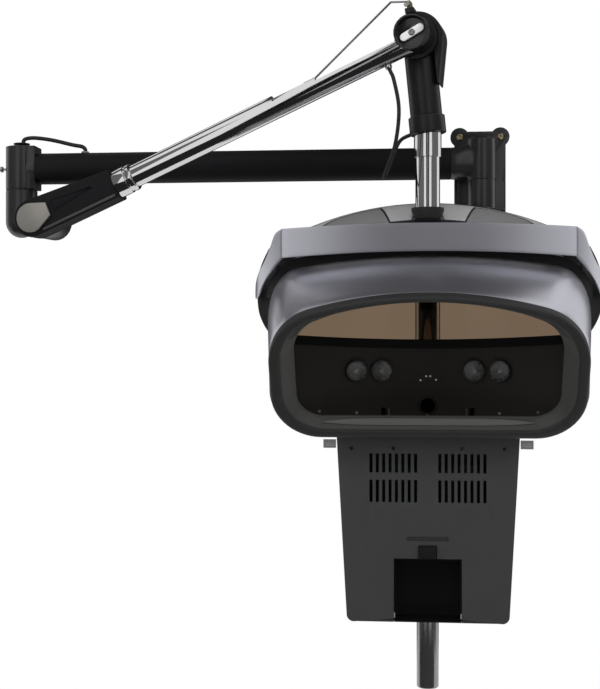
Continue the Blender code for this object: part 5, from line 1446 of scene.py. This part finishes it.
    def wing(self, side: int) -> list[Column]:
        """Return the columns of one of the band's wings, from the crease out.

        Args:
            side: -1 for the left wing, 1 for the right.

        Returns:
            Each column's x, y, lower end and upper end.
        """
        columns = []
        for share, low, high in smooth_route(self.wing_ends, steps=4)[1:]:
            x = self.crease + (self.wing_x - self.crease) * sin(share * pi / 2)
            columns.append((side * x, self.band_y + self.band_sag + self.wing_depth * share, low, high))
        return columns

    def upright_rows(self, columns: Sequence[Column]) -> list[list[Point]]:
        """Return rows of points that divide upright columns evenly."""
        steps = self.band_rows
        return [[(x, y, low + (high - low) * r / steps) for x, y, low, high in columns]
                for r in range(steps + 1)]

    def band(self) -> None:
        """Build the band across the hood's brow and down its sides."""
        columns = self.wing(-1)[::-1]
        for k in range(self.band_steps + 1):
            share = 2 * k / self.band_steps - 1
            square = share**2
            columns.append((self.crease * share, self.band_y + self.band_sag * square,
                            self.band_low - self.low_drop * square, self.band_top - self.top_drop * square))
        columns += self.wing(1)
        rows = self.upright_rows(columns)
        band = self.bench.sheet("brow_band", rows, self.wall, self.datums.unit, bevel=0.0007)
        self.fit(band, Finish.SILVER, "outer_band")
        self.lining(columns)

    def lining(self, columns: Sequence[Column]) -> None:
        """Build the black lining on the band's inner side, below the crown's front edge.

        Args:
            columns: the band's columns of x, y, lower end and upper end.
        """
        inner = []
        step = self.wall / 2 + 2 * self.gap
        for before, (x, y, low, high), after in zip(columns, columns[1:], columns[2:]):
            along = Vector((after[0] - before[0], after[1] - before[1])).normalized()
            crown = self.front_z - (1.0 - self.front_flat) * x**2 / (2 * self.crown_radius) - 2 * self.wall
            inner.append((x - along.y * step, y + along.x * step, low + 2 * self.gap, min(high, crown)))
        rows = self.upright_rows(inner)
        self.fit(self.bench.sheet("band_lining", rows, 2 * self.gap, self.datums.unit), Finish.RUBBER)

    def cheeks(self) -> None:
        """Build the black cheeks, dished from the hood's rear edge out to a rim behind the wings."""
        shape, steps = self.mouth, 10
        start_x = shape.half + shape.rear_flare
        start_y = shape.rear_y + self.wall
        rim = smooth_route([(x, self.cheek_y, z) for x, z in self.cheek_rim], steps=4)
        rows = []
        for r in range(steps + 1):
            turn = r / steps * pi / 2
            row = []
            for x, y, z in rim:
                draw = max(0.0, z / shape.rear_high - self.cheek_draw_from) ** 2 * self.cheek_draw
                inner = start_x - shape.rear_corner * draw
                row.append((inner + (x - inner) * (1 - cos(turn)), start_y + (y - start_y) * sin(turn), z))
            rows.append(row)
        master = self.bench.sheet("cheek", rows, self.wall / 2, Matrix(), bevel=0.0004)
        self.fit_pair(master, self.datums.unit, Finish.RUBBER)

    def cover_height(self, y: float) -> float:
        """Return the crowned top's height on its centre line."""
        if y <= 0.0:
            return self.front_z + (self.ledge_z - self.front_z) * (y - self.front_y) / -self.front_y
        if y <= self.crest_y:
            return self.ledge_z + (self.crest_z - self.ledge_z) * sin(y / self.crest_y * pi / 2)
        share = (y - self.crest_y) / (self.back_y - self.crest_y)
        return self.back_z + (self.crest_z - self.back_z) * sqrt(max(0.0, 1 - share**2))

    def cover_point(self, x: float, y: float, lift: float = 0.0) -> Point:
        """Return a point on the crowned top.

        Args:
            x: distance from the centre line.
            y: depth before the front edge is drawn to the band.
            lift: height over the surface, along its normal.

        Returns:
            The point in the unit's frame.
        """
        if lift:
            step = 0.0004
            across = Vector(self.cover_point(x + step, y)) - Vector(self.cover_point(x - step, y))
            along = Vector(self.cover_point(x, y + step)) - Vector(self.cover_point(x, y - step))
            return tuple(Vector(self.cover_point(x, y)) + lift * across.cross(along).normalized())
        flat = self.front_flat * max(y / self.front_y, 0.0)
        drop = (self.crown_radius - sqrt(self.crown_radius**2 - x**2)) * (1.0 - flat)
        behind = self.band_y + self.band_sag * (x / self.crease) ** 2 + self.wall / 2 + self.front_gap
        forward = (behind - self.front_y) * max(y / self.front_y, 0.0)
        return x, y + forward, self.cover_height(y) - drop

    def crown(self) -> None:
        """Build the crowned top with the pole's hole and the boot's seat."""
        ledge, rise, back, steps = 8, 10, 14, 56
        ys = [self.front_y * (1 - k / ledge) for k in range(ledge)]
        ys += [self.crest_y * k / rise for k in range(rise)]
        fall = self.back_y - self.crest_y
        ys += [self.crest_y + fall * sin(k / back * pi / 2) for k in range(back + 1)]
        rows = []
        for y in ys:
            widen = eased((y - self.front_y) / self.wing_depth)
            half = self.cover_front_half + (self.cover_half - self.cover_front_half) * widen
            rows.append([self.cover_point(half * (2 * k / steps - 1), y) for k in range(steps + 1)])
        crown = self.bench.sheet("crown_top", rows, self.wall, self.datums.unit, bevel=0.0006)
        for node in ("pole", "pole_boot"):
            low, high = extent(node)
            place = Matrix.Translation((low + high) / 2)
            self.bench.bore(crown, (high.x - low.x) / 2 + self.gap, high.z - low.z + 2 * self.gap, place)
        self.bench.shade()
        self.fit(crown, Finish.PALE_GREY, "top_cover")

    def leaf_spot(self, down: float, across: float, grow: float, lift: float) -> Point:
        """Return a point on the right leaf panel.

        Args:
            down: share of the way from its front edge to its rear edge.
            across: share of the way from its inner end to its tip.
            grow: how far its edges are moved out.
            lift: its height over the crown.

        Returns:
            The point in the unit's frame.
        """
        inner = self.tab_half + self.tab_slant * down - grow
        x = inner + (self.leaf_half + grow - inner) * across
        depth = self.leaf_depth * (1 - across**6) + grow
        return self.cover_point(x, self.leaf_start + depth * down, lift)

    def leaves(self) -> None:
        """Build the leaf panels on the crown's rise, darker for painted shade in their recesses, over black
        rims that are painted shadow in their gaps.
        """
        for name, grow, lift, finish in (
                ("leaf_shadow_rim", self.leaf_shadow_rim, self.leaf_shadow_lift, Finish.RUBBER),
                ("leaf_panel", 0.0, self.leaf_lift, Finish.SHADED_LEAF_GREY)):
            rows = grid(8, 24, lambda down, across: self.leaf_spot(down, across, grow, lift))
            self.fit_pair(self.bench.sheet(name, rows, self.film, Matrix()), self.datums.unit, finish)

    def crown_lines(self) -> None:
        """Build two black strips of painted shadow: one in the gap before the boot and one across the
        crown.
        """
        for name, half, start, lift, down, across in (
                ("tab_shadow_line", self.tab_half, self.tab_shadow_y, self.leaf_shadow_lift, 3, 24),
                ("crown_shadow_line", self.shadow_line_half, self.shadow_line_y, self.shadow_line_lift, 2, 60)):
            rows = [[self.cover_point(half * (2 * k / across - 1), start + self.shadow_line_pitch * r, lift)
                     for k in range(across + 1)] for r in range(down + 1)]
            self.fit(self.bench.sheet(name, rows, self.film, self.datums.unit), Finish.RUBBER)


@dataclass
class Cavity(Assembly):
    """The hood's inside: lamp wall, amber window, seal, lamps, mist outlet and small fittings."""

    body: str = "unit"
    liner_y: float = -0.042
    bend: float = 0.062
    bend_power: float = 2.4
    window_half: float = 0.198
    taper: float = 0.010
    top: float = -0.003
    top_rise: float = 0.007
    floor: float = -0.102
    front_y: float = -0.1075
    fillet: float = 0.003
    wall: float = 0.0025
    gap: float = 0.0003
    seal_height: float = 0.010
    seal_wall: float = 0.005
    seal_lap: float = 0.003
    window_wall: float = 0.003
    window_top: float = 0.106
    window_sag: float = 0.026
    window_top_half: float = 0.158
    nozzle_lip: float = 0.0022
    nozzle_film: float = 0.0002
    lamp_radius: float = 0.0158
    lamp_lip: float = 0.0022
    lamp_depth: float = 0.006
    bulb_radius: float = 0.0036
    bulb_tip: float = 0.0024
    lens_gap: float = 0.0004
    dots: tuple[Flat, ...] = ((-0.0102, -0.0507), (-0.0022, -0.0449), (0.0036, -0.0449), (0.0116, -0.0500))
    dot_radius: float = 0.0013
    foot_screws: tuple[Flat, ...] = (
        (-0.1506, -0.0935), (-0.0995, -0.0965), (0.0, -0.0988), (0.0995, -0.0965), (0.1506, -0.0935))
    slots: tuple[Flat, ...] = ((-0.0635, -0.1010), (0.0635, -0.1010))
    posts: tuple[Flat, ...] = ((-0.0545, -0.1010), (0.0545, -0.1010))
    slot_half: float = 0.0040
    slot_height: float = 0.0115
    post_radius: float = 0.0017
    screw: ScrewHead = ScrewHead(0.0025, 0.0014, 0.0009, 0.0006)

    @property
    def liner_half(self) -> float:
        """Half the lamp wall's width at its foot."""
        return self.window_half - self.taper

    def depth(self, x: float) -> float:
        """Return how far forward the concave wall stands at x."""
        return self.liner_y - self.bend * (abs(x) / self.liner_half) ** self.bend_power

    def wall_top(self, x: float) -> float:
        """Return the height of the lamp wall's upper edge at x."""
        return self.top + self.top_rise * (x / self.liner_half) ** 2

    def rows(self, low_half: float, high_half: float, shares: Sequence[float],
             low: Callable[[float], float], high: Callable[[float], float]) -> list[list[Point]]:
        """Return rows of a concave wall.

        Args:
            low_half: half its width at the foot.
            high_half: half its width at the top.
            shares: the height of each row, from 0 to 1.
            low: height of the foot at x.
            high: height of the top at x.

        Returns:
            Rows of points in the unit's frame.
        """
        steps = 64
        rows = []
        for share in shares:
            half = low_half + (high_half - low_half) * share
            row = []
            for k in range(steps + 1):
                side = 2 * k / steps - 1
                x = side * self.liner_half
                row.append((side * half, self.depth(x), low(x) + (high(x) - low(x)) * share))
            rows.append(row)
        return rows

    def build(self) -> None:
        """Build and dress the cavity."""
        self.lamp_wall()
        self.window()
        self.polish({
            "rear_bowl": ("hood_rear_cover", 0.0008, Finish.DARK_GREY),
            "mist_nozzle": ("mist_outlet", 0.0005, Finish.LINER),
        })
        self.lamps()
        self.mist_mouth_shade()
        self.fittings()

    def mist_mouth_shade(self) -> None:
        """Build a black funnel inside the mist nozzle: painted shade for its dark bore."""
        low, high = (self.datums.unit.inverted() @ corner for corner in extent("mist_outlet"))
        middle = (low + high) / 2
        rim = (high.x - low.x) / 2 - self.nozzle_lip
        place = self.datums.unit @ Matrix.Translation((middle.x, low.y, middle.z)) @ TO_VIEWER
        film = self.nozzle_film
        funnel = [(0.0, 0.0), (rim, 0.0), (rim, 2 * film), (rim * 0.3, film), (0.0, film)]
        self.fit(self.bench.spun("mist_mouth_shade", funnel, place, segments=32), Finish.PAINTED_SHADE_BLACK)

    def lamp_wall(self) -> None:
        """Build the dark wall with its filleted floor."""
        foot_z = self.floor + self.fillet
        up, round_steps = 12, 6
        shares = [1 - k / up for k in range(up + 1)]
        rows = self.rows(self.liner_half, self.window_half, shares, lambda x: foot_z, self.wall_top)
        foot = rows[-1]
        for k in range(1, round_steps + 1):
            turn = k / round_steps * pi / 2
            forward = self.fillet * (1 - cos(turn))
            down = self.fillet * sin(turn)
            rows.append([(x, y - forward, z - down) for x, y, z in foot])
        rows.append([(x, min(self.front_y, y - 2 * self.fillet), z - self.fillet) for x, y, z in foot])
        wall = self.bench.sheet("lamp_wall", rows, self.wall, self.datums.unit, bevel=0.0004)
        low, high = extent("mist_outlet")
        place = Matrix.Translation((low + high) / 2) @ TO_VIEWER
        self.bench.bore(wall, (high.x - low.x) / 2 + self.gap, 4 * (high.y - low.y), place)
        self.bench.shade()
        self.fit(wall, Finish.LINER, "cavity_liner")

    def window(self) -> None:
        """Build the rubber seal on the lamp wall and the amber pane above it."""
        half, unit = self.window_half, self.datums.unit
        rows = self.rows(half, half, [k / 4 for k in range(5)], lambda x: self.wall_top(x) - self.seal_lap,
                         lambda x: self.wall_top(x) + self.seal_height)
        seal = self.bench.sheet("pane_seal", rows, self.seal_wall, unit, bevel=0.0010)
        self.fit(seal, Finish.SEAL_BLACK, "window_gasket")
        foot = self.seal_height - self.seal_lap
        rows = self.rows(half, self.window_top_half, [k / 10 for k in range(11)],
                         lambda x: self.wall_top(x) + foot,
                         lambda x: self.window_top - self.window_sag * (x / self.liner_half) ** 2)
        pane = self.bench.sheet("amber_pane", rows, self.window_wall, unit, bevel=0.0003)
        self.fit(pane, Finish.AMBER, "amber_window")

    def lamp_place(self, number: int) -> Matrix:
        """Return a lamp's place on the concave wall.

        Args:
            number: the lamp's number, from the left.

        Returns:
            The place of its back, facing out.
        """
        low, high = extent(f"lamp_{number}")
        middle = self.datums.unit.inverted() @ ((low + high) / 2)
        back = self.depth(middle.x) - self.wall / 2 - self.gap
        side, radius = abs(middle.x), self.lamp_radius
        ahead = self.depth(side + radius) - self.depth(side - radius)
        lean = atan2(ahead, 2 * radius) * (1 if middle.x > 0 else -1)
        middle.y = min(back, middle.y + self.lamp_depth / 2)
        return self.datums.unit @ Matrix.Translation(middle) @ Matrix.Rotation(lean, 4, "Z") @ TO_VIEWER

    def lamps(self) -> None:
        """Build the four lamps: bezel with its bowl, bulb and lens, each drawn in shares of their depth."""
        outer, inner, core = self.lamp_radius, self.lamp_radius - self.lamp_lip, self.bulb_radius
        bowl = [(0.0, 0.0), (outer, 0.0), (outer, 0.8), (outer - self.lamp_lip * 0.4, 1.0),
                (inner + self.gap, 1.0), (inner, 0.75), (inner * 0.7, 0.25), (0.0, 0.12)]
        bulb = [(0.0, 0.13), (core, 0.16), (core, 0.4), (self.bulb_tip, 0.6), (0.0, 0.66)]
        lens = [(0.0, 0.86), (inner * 0.6, 0.84), (inner - self.lens_gap, 0.78), (inner - self.gap, 0.86),
                (inner * 0.6, 0.96), (0.0, 1.0)]
        spots = {k: self.lamp_place(k) for k in range(1, 5)}
        nodes = [f"lamp_{k}" for k in spots]
        for name, shares, bevel, finish, replaced in (
                ("lamp_bowl", bowl, 0.0002, Finish.LAMP_METAL, nodes),
                ("lamp_bulb", bulb, 0.0, Finish.WHITE_DOT, []),
                ("lamp_lens", lens, 0.0, Finish.LENS, [])):
            profile = [(radius, share * self.lamp_depth) for radius, share in shares]
            master = self.bench.spun(name, profile, Matrix(), bevel)
            places = {f"{name}_{k}": spot for k, spot in spots.items()}
            self.fit_copies(master, places, finish, *replaced)

    def on_wall(self, x: float, z: float) -> Matrix:
        """Return a place on the lamp wall's face, facing the viewer."""
        spot = (x, self.depth(x) - self.wall / 2, z)
        return self.datums.unit @ Matrix.Translation(spot) @ TO_VIEWER

    def numbered(self, name: str, spots: Sequence[Flat]) -> dict[str, Matrix]:
        """Return numbered names with their places on the lamp wall."""
        return {f"{name}_{k}": self.on_wall(x, z) for k, (x, z) in enumerate(spots, 1)}

    def fittings(self) -> None:
        """Build the status dots, and the screws, slots and posts along the wall's foot; each slot is a thin
        near-black film, painted shade in its opening.
        """
        bench, dot, radius, height = self.bench, self.dot_radius, self.post_radius, self.slot_height
        dome = [(0.0, 0.0), *arc((0.0, 0.0), dot, 0.0, pi / 2, count=5)[:-1], (0.0, dot)]
        slot = rectangle(-self.slot_half, 0.0, self.slot_half, height)
        post = [(0.0, 0.0), (radius, 0.0), (radius, height * 0.9), (radius * 0.6, height), (0.0, height)]
        upright = Matrix.Translation((0.0, 0.0, 2 * self.wall)) @ Matrix.Rotation(-pi / 2, 4, "X")
        master = bench.spun("status_dot", dome, Matrix(), segments=20)
        self.fit_copies(master, self.numbered("status_dot", self.dots), Finish.WHITE_DOT)
        master = bench.spun("wall_foot_screw", self.screw.profile(), Matrix(), segments=24)
        self.fit_copies(master, self.numbered("wall_foot_screw", self.foot_screws), Finish.STEEL)
        # Each slot is a near-black film: painted shade in the opening.
        master = bench.plate("foot_slot_shade", slot, self.gap, Matrix(), self.gap / 4)
        self.fit_copies(master, self.numbered("foot_slot_shade", self.slots), Finish.PAINTED_SHADE_BLACK)
        master = bench.spun("foot_post", post, Matrix(), segments=20)
        places = {name: place @ upright for name, place in self.numbered("foot_post", self.posts).items()}
        self.fit_copies(master, places, Finish.REVEAL_GREY)


@dataclass
class BodyBox(Assembly):
    """The body below the hood: shell, vented panel, ears, label, bay and what it holds."""

    body: str = "unit"
    top: float = -0.120
    low: float = -0.3875
    top_half: float = 0.1275
    low_half: float = 0.1130
    corner: float = 0.010
    front_y: float = -0.072
    thickness: float = 0.003
    panel_edge: float = 0.0024
    cut_edge: float = 0.0005
    cut_angle: float = radians(40)
    gap: float = 0.0003
    arch: float = 0.0060
    vent_pitch: float = 0.00886
    vent_width: float = 0.0042
    vent_count: int = 8
    vent_inner: float = 0.0168
    vent_rows: tuple[Flat, ...] = ((-0.1655, 0.0265), (-0.2045, 0.0310))
    bay_half: float = 0.0471
    bay_top: float = -0.2985
    latch_half: float = 0.0127
    latch_height: float = 0.0185
    ear_inner: float = 0.1275
    ear_outer: float = 0.1455
    ear_drop: float = 0.013
    ear_height: float = 0.012
    ear_groove: Point = (0.0016, 0.0008, 0.0006)
    clip_width: float = 0.0018
    clip_height: float = 0.0080
    label_half: float = 0.0285
    label_z: float = -0.2705
    label_height: float = 0.005
    label_thickness: float = 0.0008
    label_groove: Point = (0.0005, 0.0003, 0.0003)
    screws_x: tuple[float, ...] = (-0.106, -0.0475, 0.0475, 0.106)
    screw_z: float = -0.145
    screw: ScrewHead = ScrewHead(0.0026, 0.0010, 0.0011, 0.0006)

    def build(self) -> None:
        """Build and dress the body."""
        self.panel()
        self.sides()
        self.label()
        self.heads()
        self.polish({
            "case_shell": ("body_rear_shell", 0.0012, Finish.DARK_GREY),
            "bay_lining": ("bay_liner", 0.0004, Finish.BAY_BLACK),
        })
        self.keep(Finish.STEEL, "pole_clamp", "steam_generator")
        self.keep(Finish.TANK, "water_tank")
        self.keep(Finish.BOARD, "control_board")

    def outline(self) -> list[Flat]:
        """Return the panel's outline with its arched sill."""
        flat = self.low_half - self.corner
        steps = 16
        right = arc((flat, self.low + self.corner), self.corner, -pi / 2, 0.0, count=10)
        left = [(-x, z) for x, z in reversed(right)]
        sill = [(flat * (2 * k / steps - 1), self.low + self.arch * sin(k * pi / steps))
                for k in range(1, steps)]
        return left + sill + right + [(self.top_half, self.top), (-self.top_half, self.top)]

    def facing(self, y: float) -> Matrix:
        """Return the place at a depth where outlines face the viewer."""
        return self.datums.unit @ Matrix.Translation((0.0, y, 0.0)) @ TO_VIEWER

    def panel(self) -> None:
        """Build the front panel with its vents, its bay mouth and the latch's notch."""
        back = self.front_y + self.thickness
        place = self.facing(back)
        panel = self.bench.plate("vent_panel", self.outline(), self.thickness, place, self.panel_edge)
        front, rear = self.front_y - self.thickness, back + self.thickness
        half = self.vent_width / 2
        boxes = []
        for z, height in self.vent_rows:
            for k in range(self.vent_count):
                for side in (-1, 1):
                    x = side * (self.vent_inner + k * self.vent_pitch)
                    boxes.append(((x - half, front, z - height / 2), (x + half, rear, z + height / 2)))
        self.bench.cut(panel, boxes, self.datums.unit)
        mouth = ((-self.bay_half, front, self.low - self.thickness), (self.bay_half, rear, self.bay_top))
        self.bench.cut(panel, [mouth], self.datums.unit)
        notch = ((-self.latch_half, front, self.bay_top - self.thickness),
                 (self.latch_half, rear, self.bay_top + self.latch_height))
        self.bench.cut(panel, [notch], self.datums.unit)
        self.bench.softened(panel, self.cut_edge, self.cut_angle)
        self.fit(panel, Finish.DARK_GREY, "body_front_panel")

    def sides(self) -> None:
        """Build the side ears and the clips at the foot of the bay."""
        face = self.facing(self.front_y + self.thickness)
        high = self.top - self.ear_drop
        outline = rectangle(self.ear_inner + self.gap, high - self.ear_height, self.ear_outer, high)
        ear = self.bench.plate("case_ear", outline, self.thickness, Matrix(), bevel=0.0007,
                               groove=self.ear_groove)
        self.fit_pair(ear, face, Finish.EAR_GREY)
        inner, outer = self.bay_half - self.clip_width, self.bay_half
        low, rise = self.low + self.arch, self.clip_height
        outline = [(inner, low), (outer, low), (outer, low + rise), (inner, low + rise * 0.8)]
        clip = self.bench.plate("bay_clip", outline, self.thickness / 2, Matrix(), bevel=0.0003)
        self.fit_pair(clip, face, Finish.EAR_GREY)

    def label(self) -> None:
        """Build the bare label plate."""
        half, rise = self.label_half, self.label_height / 2
        outline = rectangle(-half, self.label_z - rise, half, self.label_z + rise)
        place = self.facing(self.front_y)
        label = self.bench.plate("bare_label", outline, self.label_thickness, place, bevel=0.0002,
                                 groove=self.label_groove)
        self.fit(label, Finish.RING_GREY)

    def heads(self) -> None:
        """Build the heads of the panel's screws."""
        face = self.facing(self.front_y)
        places = {f"panel_screw_{k}": face @ Matrix.Translation((x, self.screw_z, 0.0))
                  for k, x in enumerate(self.screws_x, 1)}
        master = self.bench.spun("panel_screw", self.screw.profile(), Matrix(), segments=24)
        self.fit_copies(master, places, Finish.BLACK_GLOSS)


@dataclass
class Latch(Assembly):
    """The press tab above the bay."""

    body: str = "latch"

    def build(self) -> None:
        """Build and dress the tab."""
        self.polish({"latch_button": ("latch_tab", 0.0008, Finish.TUBE_BLACK)})


@dataclass
class Studio:
    """Camera, soft lights, white surroundings and a pale floor."""

    camera_y: float = -2.075
    camera_z: float = -0.267
    camera_turn: float = radians(5.573)
    lens: float = 68.38
    floor_z: float = -1.32
    floor_size: float = 14.0
    floor_tone: float = 0.86
    floor_roughness: float = 0.9
    floor_glow: float = 0.8
    glow_span: Flat = (0.5, 2.2)
    fill: float = 0.21
    lamps: dict[str, tuple[Point, float, float]] = field(default_factory=lambda: {
        "left_box": ((-2.2, -1.5, 0.45), 1.5, 30.0),
        "right_box": ((2.05, -1.5, 0.45), 1.5, 30.0),
        "key_box": ((-0.1, -1.9, 2.0), 1.8, 34.0),
        "rear_box": ((0.4, 2.3, 1.0), 1.6, 18.0),
        "low_box": ((-0.1, -1.5, -1.15), 0.9, 7.0),
    })
    cards: dict[str, tuple[Point, float, float, float]] = field(default_factory=lambda: {
        "front_card": ((-0.08, -3.2, 0.0), 1.5, 3.2, 0.01),
        "slit_card": ((-0.02, -3.1, 0.0), 0.24, 3.0, 0.45),
        "high_card": ((-0.05, -2.0, 2.3), 1.1, 2.3, 0.10),
        "left_card": ((-2.7, -1.3, 0.1), 3.4, 4.0, 0.16),
        "right_card": ((2.54, -1.3, 0.1), 3.4, 4.0, 0.16),
        "top_card": ((-0.08, 0.6, 2.4), 2.2, 4.6, 0.04),
        "side_card": ((-1.75, 0.3, 2.3), 1.2, 3.6, 0.08),
        "back_card": ((-0.2, 2.2, 0.1), 5.0, 3.8, 0.06),
        "low_card": ((-0.2, -0.4, -1.30), 5.0, 5.0, 0.02),
    })
    aim: Point = (-0.15, -0.15, -0.20)

    def build(self, datums: Datums) -> None:
        """Build the studio.

        Args:
            datums: the frames, for the camera's place over the pole.
        """
        data = bpy.data.cameras.new("photo_camera")
        data.lens = self.lens
        camera = bpy.data.objects.new("photo_camera", data)
        camera.location = (datums.unit.translation.x, self.camera_y, self.camera_z)
        camera.rotation_euler = (pi / 2, 0.0, self.camera_turn)
        bpy.context.scene.collection.objects.link(camera)
        bpy.context.scene.camera = camera
        bpy.context.scene.view_settings.view_transform = "Standard"
        self.world()
        self.floor()
        for name, (spot, size, power) in self.lamps.items():
            self.lamp(name, spot, size, power)
        for name, (spot, wide, high, level) in self.cards.items():
            self.card(name, spot, (wide, high), level)

    def card(self, name: str, spot: Point, size: Flat, level: float) -> None:
        """Stand a dark or grey card that only shows as a reflection.

        Args:
            name: the card's name.
            spot: its middle.
            size: its width and height.
            level: how bright it looks, where 1 is white.
        """
        Bench.begin()
        bpy.ops.mesh.primitive_plane_add(size=1.0, location=spot)
        card = bpy.context.object
        card.name = name
        card.scale = (*size, 1.0)
        card.rotation_euler = (Vector(self.aim) - Vector(spot)).to_track_quat("Z", "Y").to_euler()
        card.visible_camera = False
        card.visible_diffuse = False
        card.visible_transmission = False
        card.visible_shadow = False
        material = blank(name)
        shader = material.node_tree.nodes["Principled BSDF"]
        shader.inputs["Base Color"].default_value = (0.0, 0.0, 0.0, 1.0)
        shader.inputs["Specular IOR Level"].default_value = 0.0
        shader.inputs["Emission Color"].default_value = WHITE
        shader.inputs["Emission Strength"].default_value = level
        card.data.materials.append(material)

    def lamp(self, name: str, spot: Point, size: float, power: float) -> None:
        """Add a soft box that looks at the object.

        Args:
            name: the lamp's name.
            spot: where it stands.
            size: the side of its square face.
            power: its strength in watts.
        """
        data = bpy.data.lights.new(name, "AREA")
        data.size = size
        data.energy = power
        lamp = bpy.data.objects.new(name, data)
        lamp.location = spot
        lamp.rotation_euler = (Vector(self.aim) - Vector(spot)).to_track_quat("-Z", "Y").to_euler()
        lamp.visible_glossy = False
        bpy.context.scene.collection.objects.link(lamp)

    @staticmethod
    def seen_white(recipe: Recipe) -> Signal:
        """Return 1 for rays that show the background, and 0 for light that falls on the object."""
        path = "ShaderNodeLightPath"
        camera = recipe.node(path, output="Is Camera Ray")
        glossy = recipe.node(path, output="Is Glossy Ray")
        through = recipe.node(path, output="Is Transmission Ray")
        return camera.highest(glossy).highest(through)

    def world(self) -> None:
        """Make surroundings that look white and light the object softly."""
        world = bpy.data.worlds.new("studio")
        world.use_nodes = True
        bpy.context.scene.world = world
        recipe = Recipe(world.node_tree)
        soft = world.node_tree.nodes["Background"]
        soft.inputs["Strength"].default_value = self.fill
        soft.inputs["Color"].default_value = WHITE
        light = Signal(recipe, soft.outputs[0])
        white = recipe.node("ShaderNodeBackground", inputs={"Color": WHITE, "Strength": 1.0})
        both = recipe.node("ShaderNodeMixShader", inputs={0: self.seen_white(recipe), 1: light, 2: white})
        recipe.feed(both, recipe.tree.nodes["World Output"], "Surface")

    def floor(self) -> None:
        """Lay a pale floor that reads as white and keeps the object's shadow."""
        Bench.begin()
        bpy.ops.mesh.primitive_plane_add(size=self.floor_size, location=(0.0, 0.0, self.floor_z))
        floor = bpy.context.object
        floor.name = "studio_floor"
        material = blank("studio_floor")
        recipe = Recipe(material.node_tree)
        shader = material.node_tree.nodes["Principled BSDF"]
        shader.inputs["Base Color"].default_value = (self.floor_tone, self.floor_tone, self.floor_tone, 1.0)
        shader.inputs["Roughness"].default_value = self.floor_roughness
        matt = Signal(recipe, shader.outputs[0])
        glow = recipe.node("ShaderNodeEmission", inputs={"Color": WHITE, "Strength": 1.0})
        spot = recipe.node("ShaderNodeTexCoord", output="Object")
        reach = recipe.node("ShaderNodeVectorMath", {"operation": "LENGTH"}, {0: spot}, "Value")
        near, far = self.glow_span
        limits = {"From Min": near, "From Max": far, "To Min": self.floor_glow, "To Max": 1.0}
        smooth = {"interpolation_type": "SMOOTHSTEP"}
        share = recipe.node("ShaderNodeMapRange", smooth, {"Value": reach, **limits})
        seen = self.seen_white(recipe) * share
        both = recipe.node("ShaderNodeMixShader", inputs={0: seen, 1: matt, 2: glow})
        recipe.feed(both, recipe.tree.nodes["Material Output"], "Surface")
        floor.data.materials.append(material)


def main() -> None:
    """Build the studio and every sub-assembly."""
    logging.basicConfig(level=logging.INFO, format="%(name)s: %(message)s")
    datums = Datums()
    bench = Bench()
    Studio().build(datums)
    assemblies = (Knuckle, Boom, WallBracket, Elbow, SpringArm, Strap, Pole, Hood, Cavity, BodyBox, Latch)
    for assembly in assemblies:
        assembly(bench, datums).build()


if __name__ == "__main__":
    main()
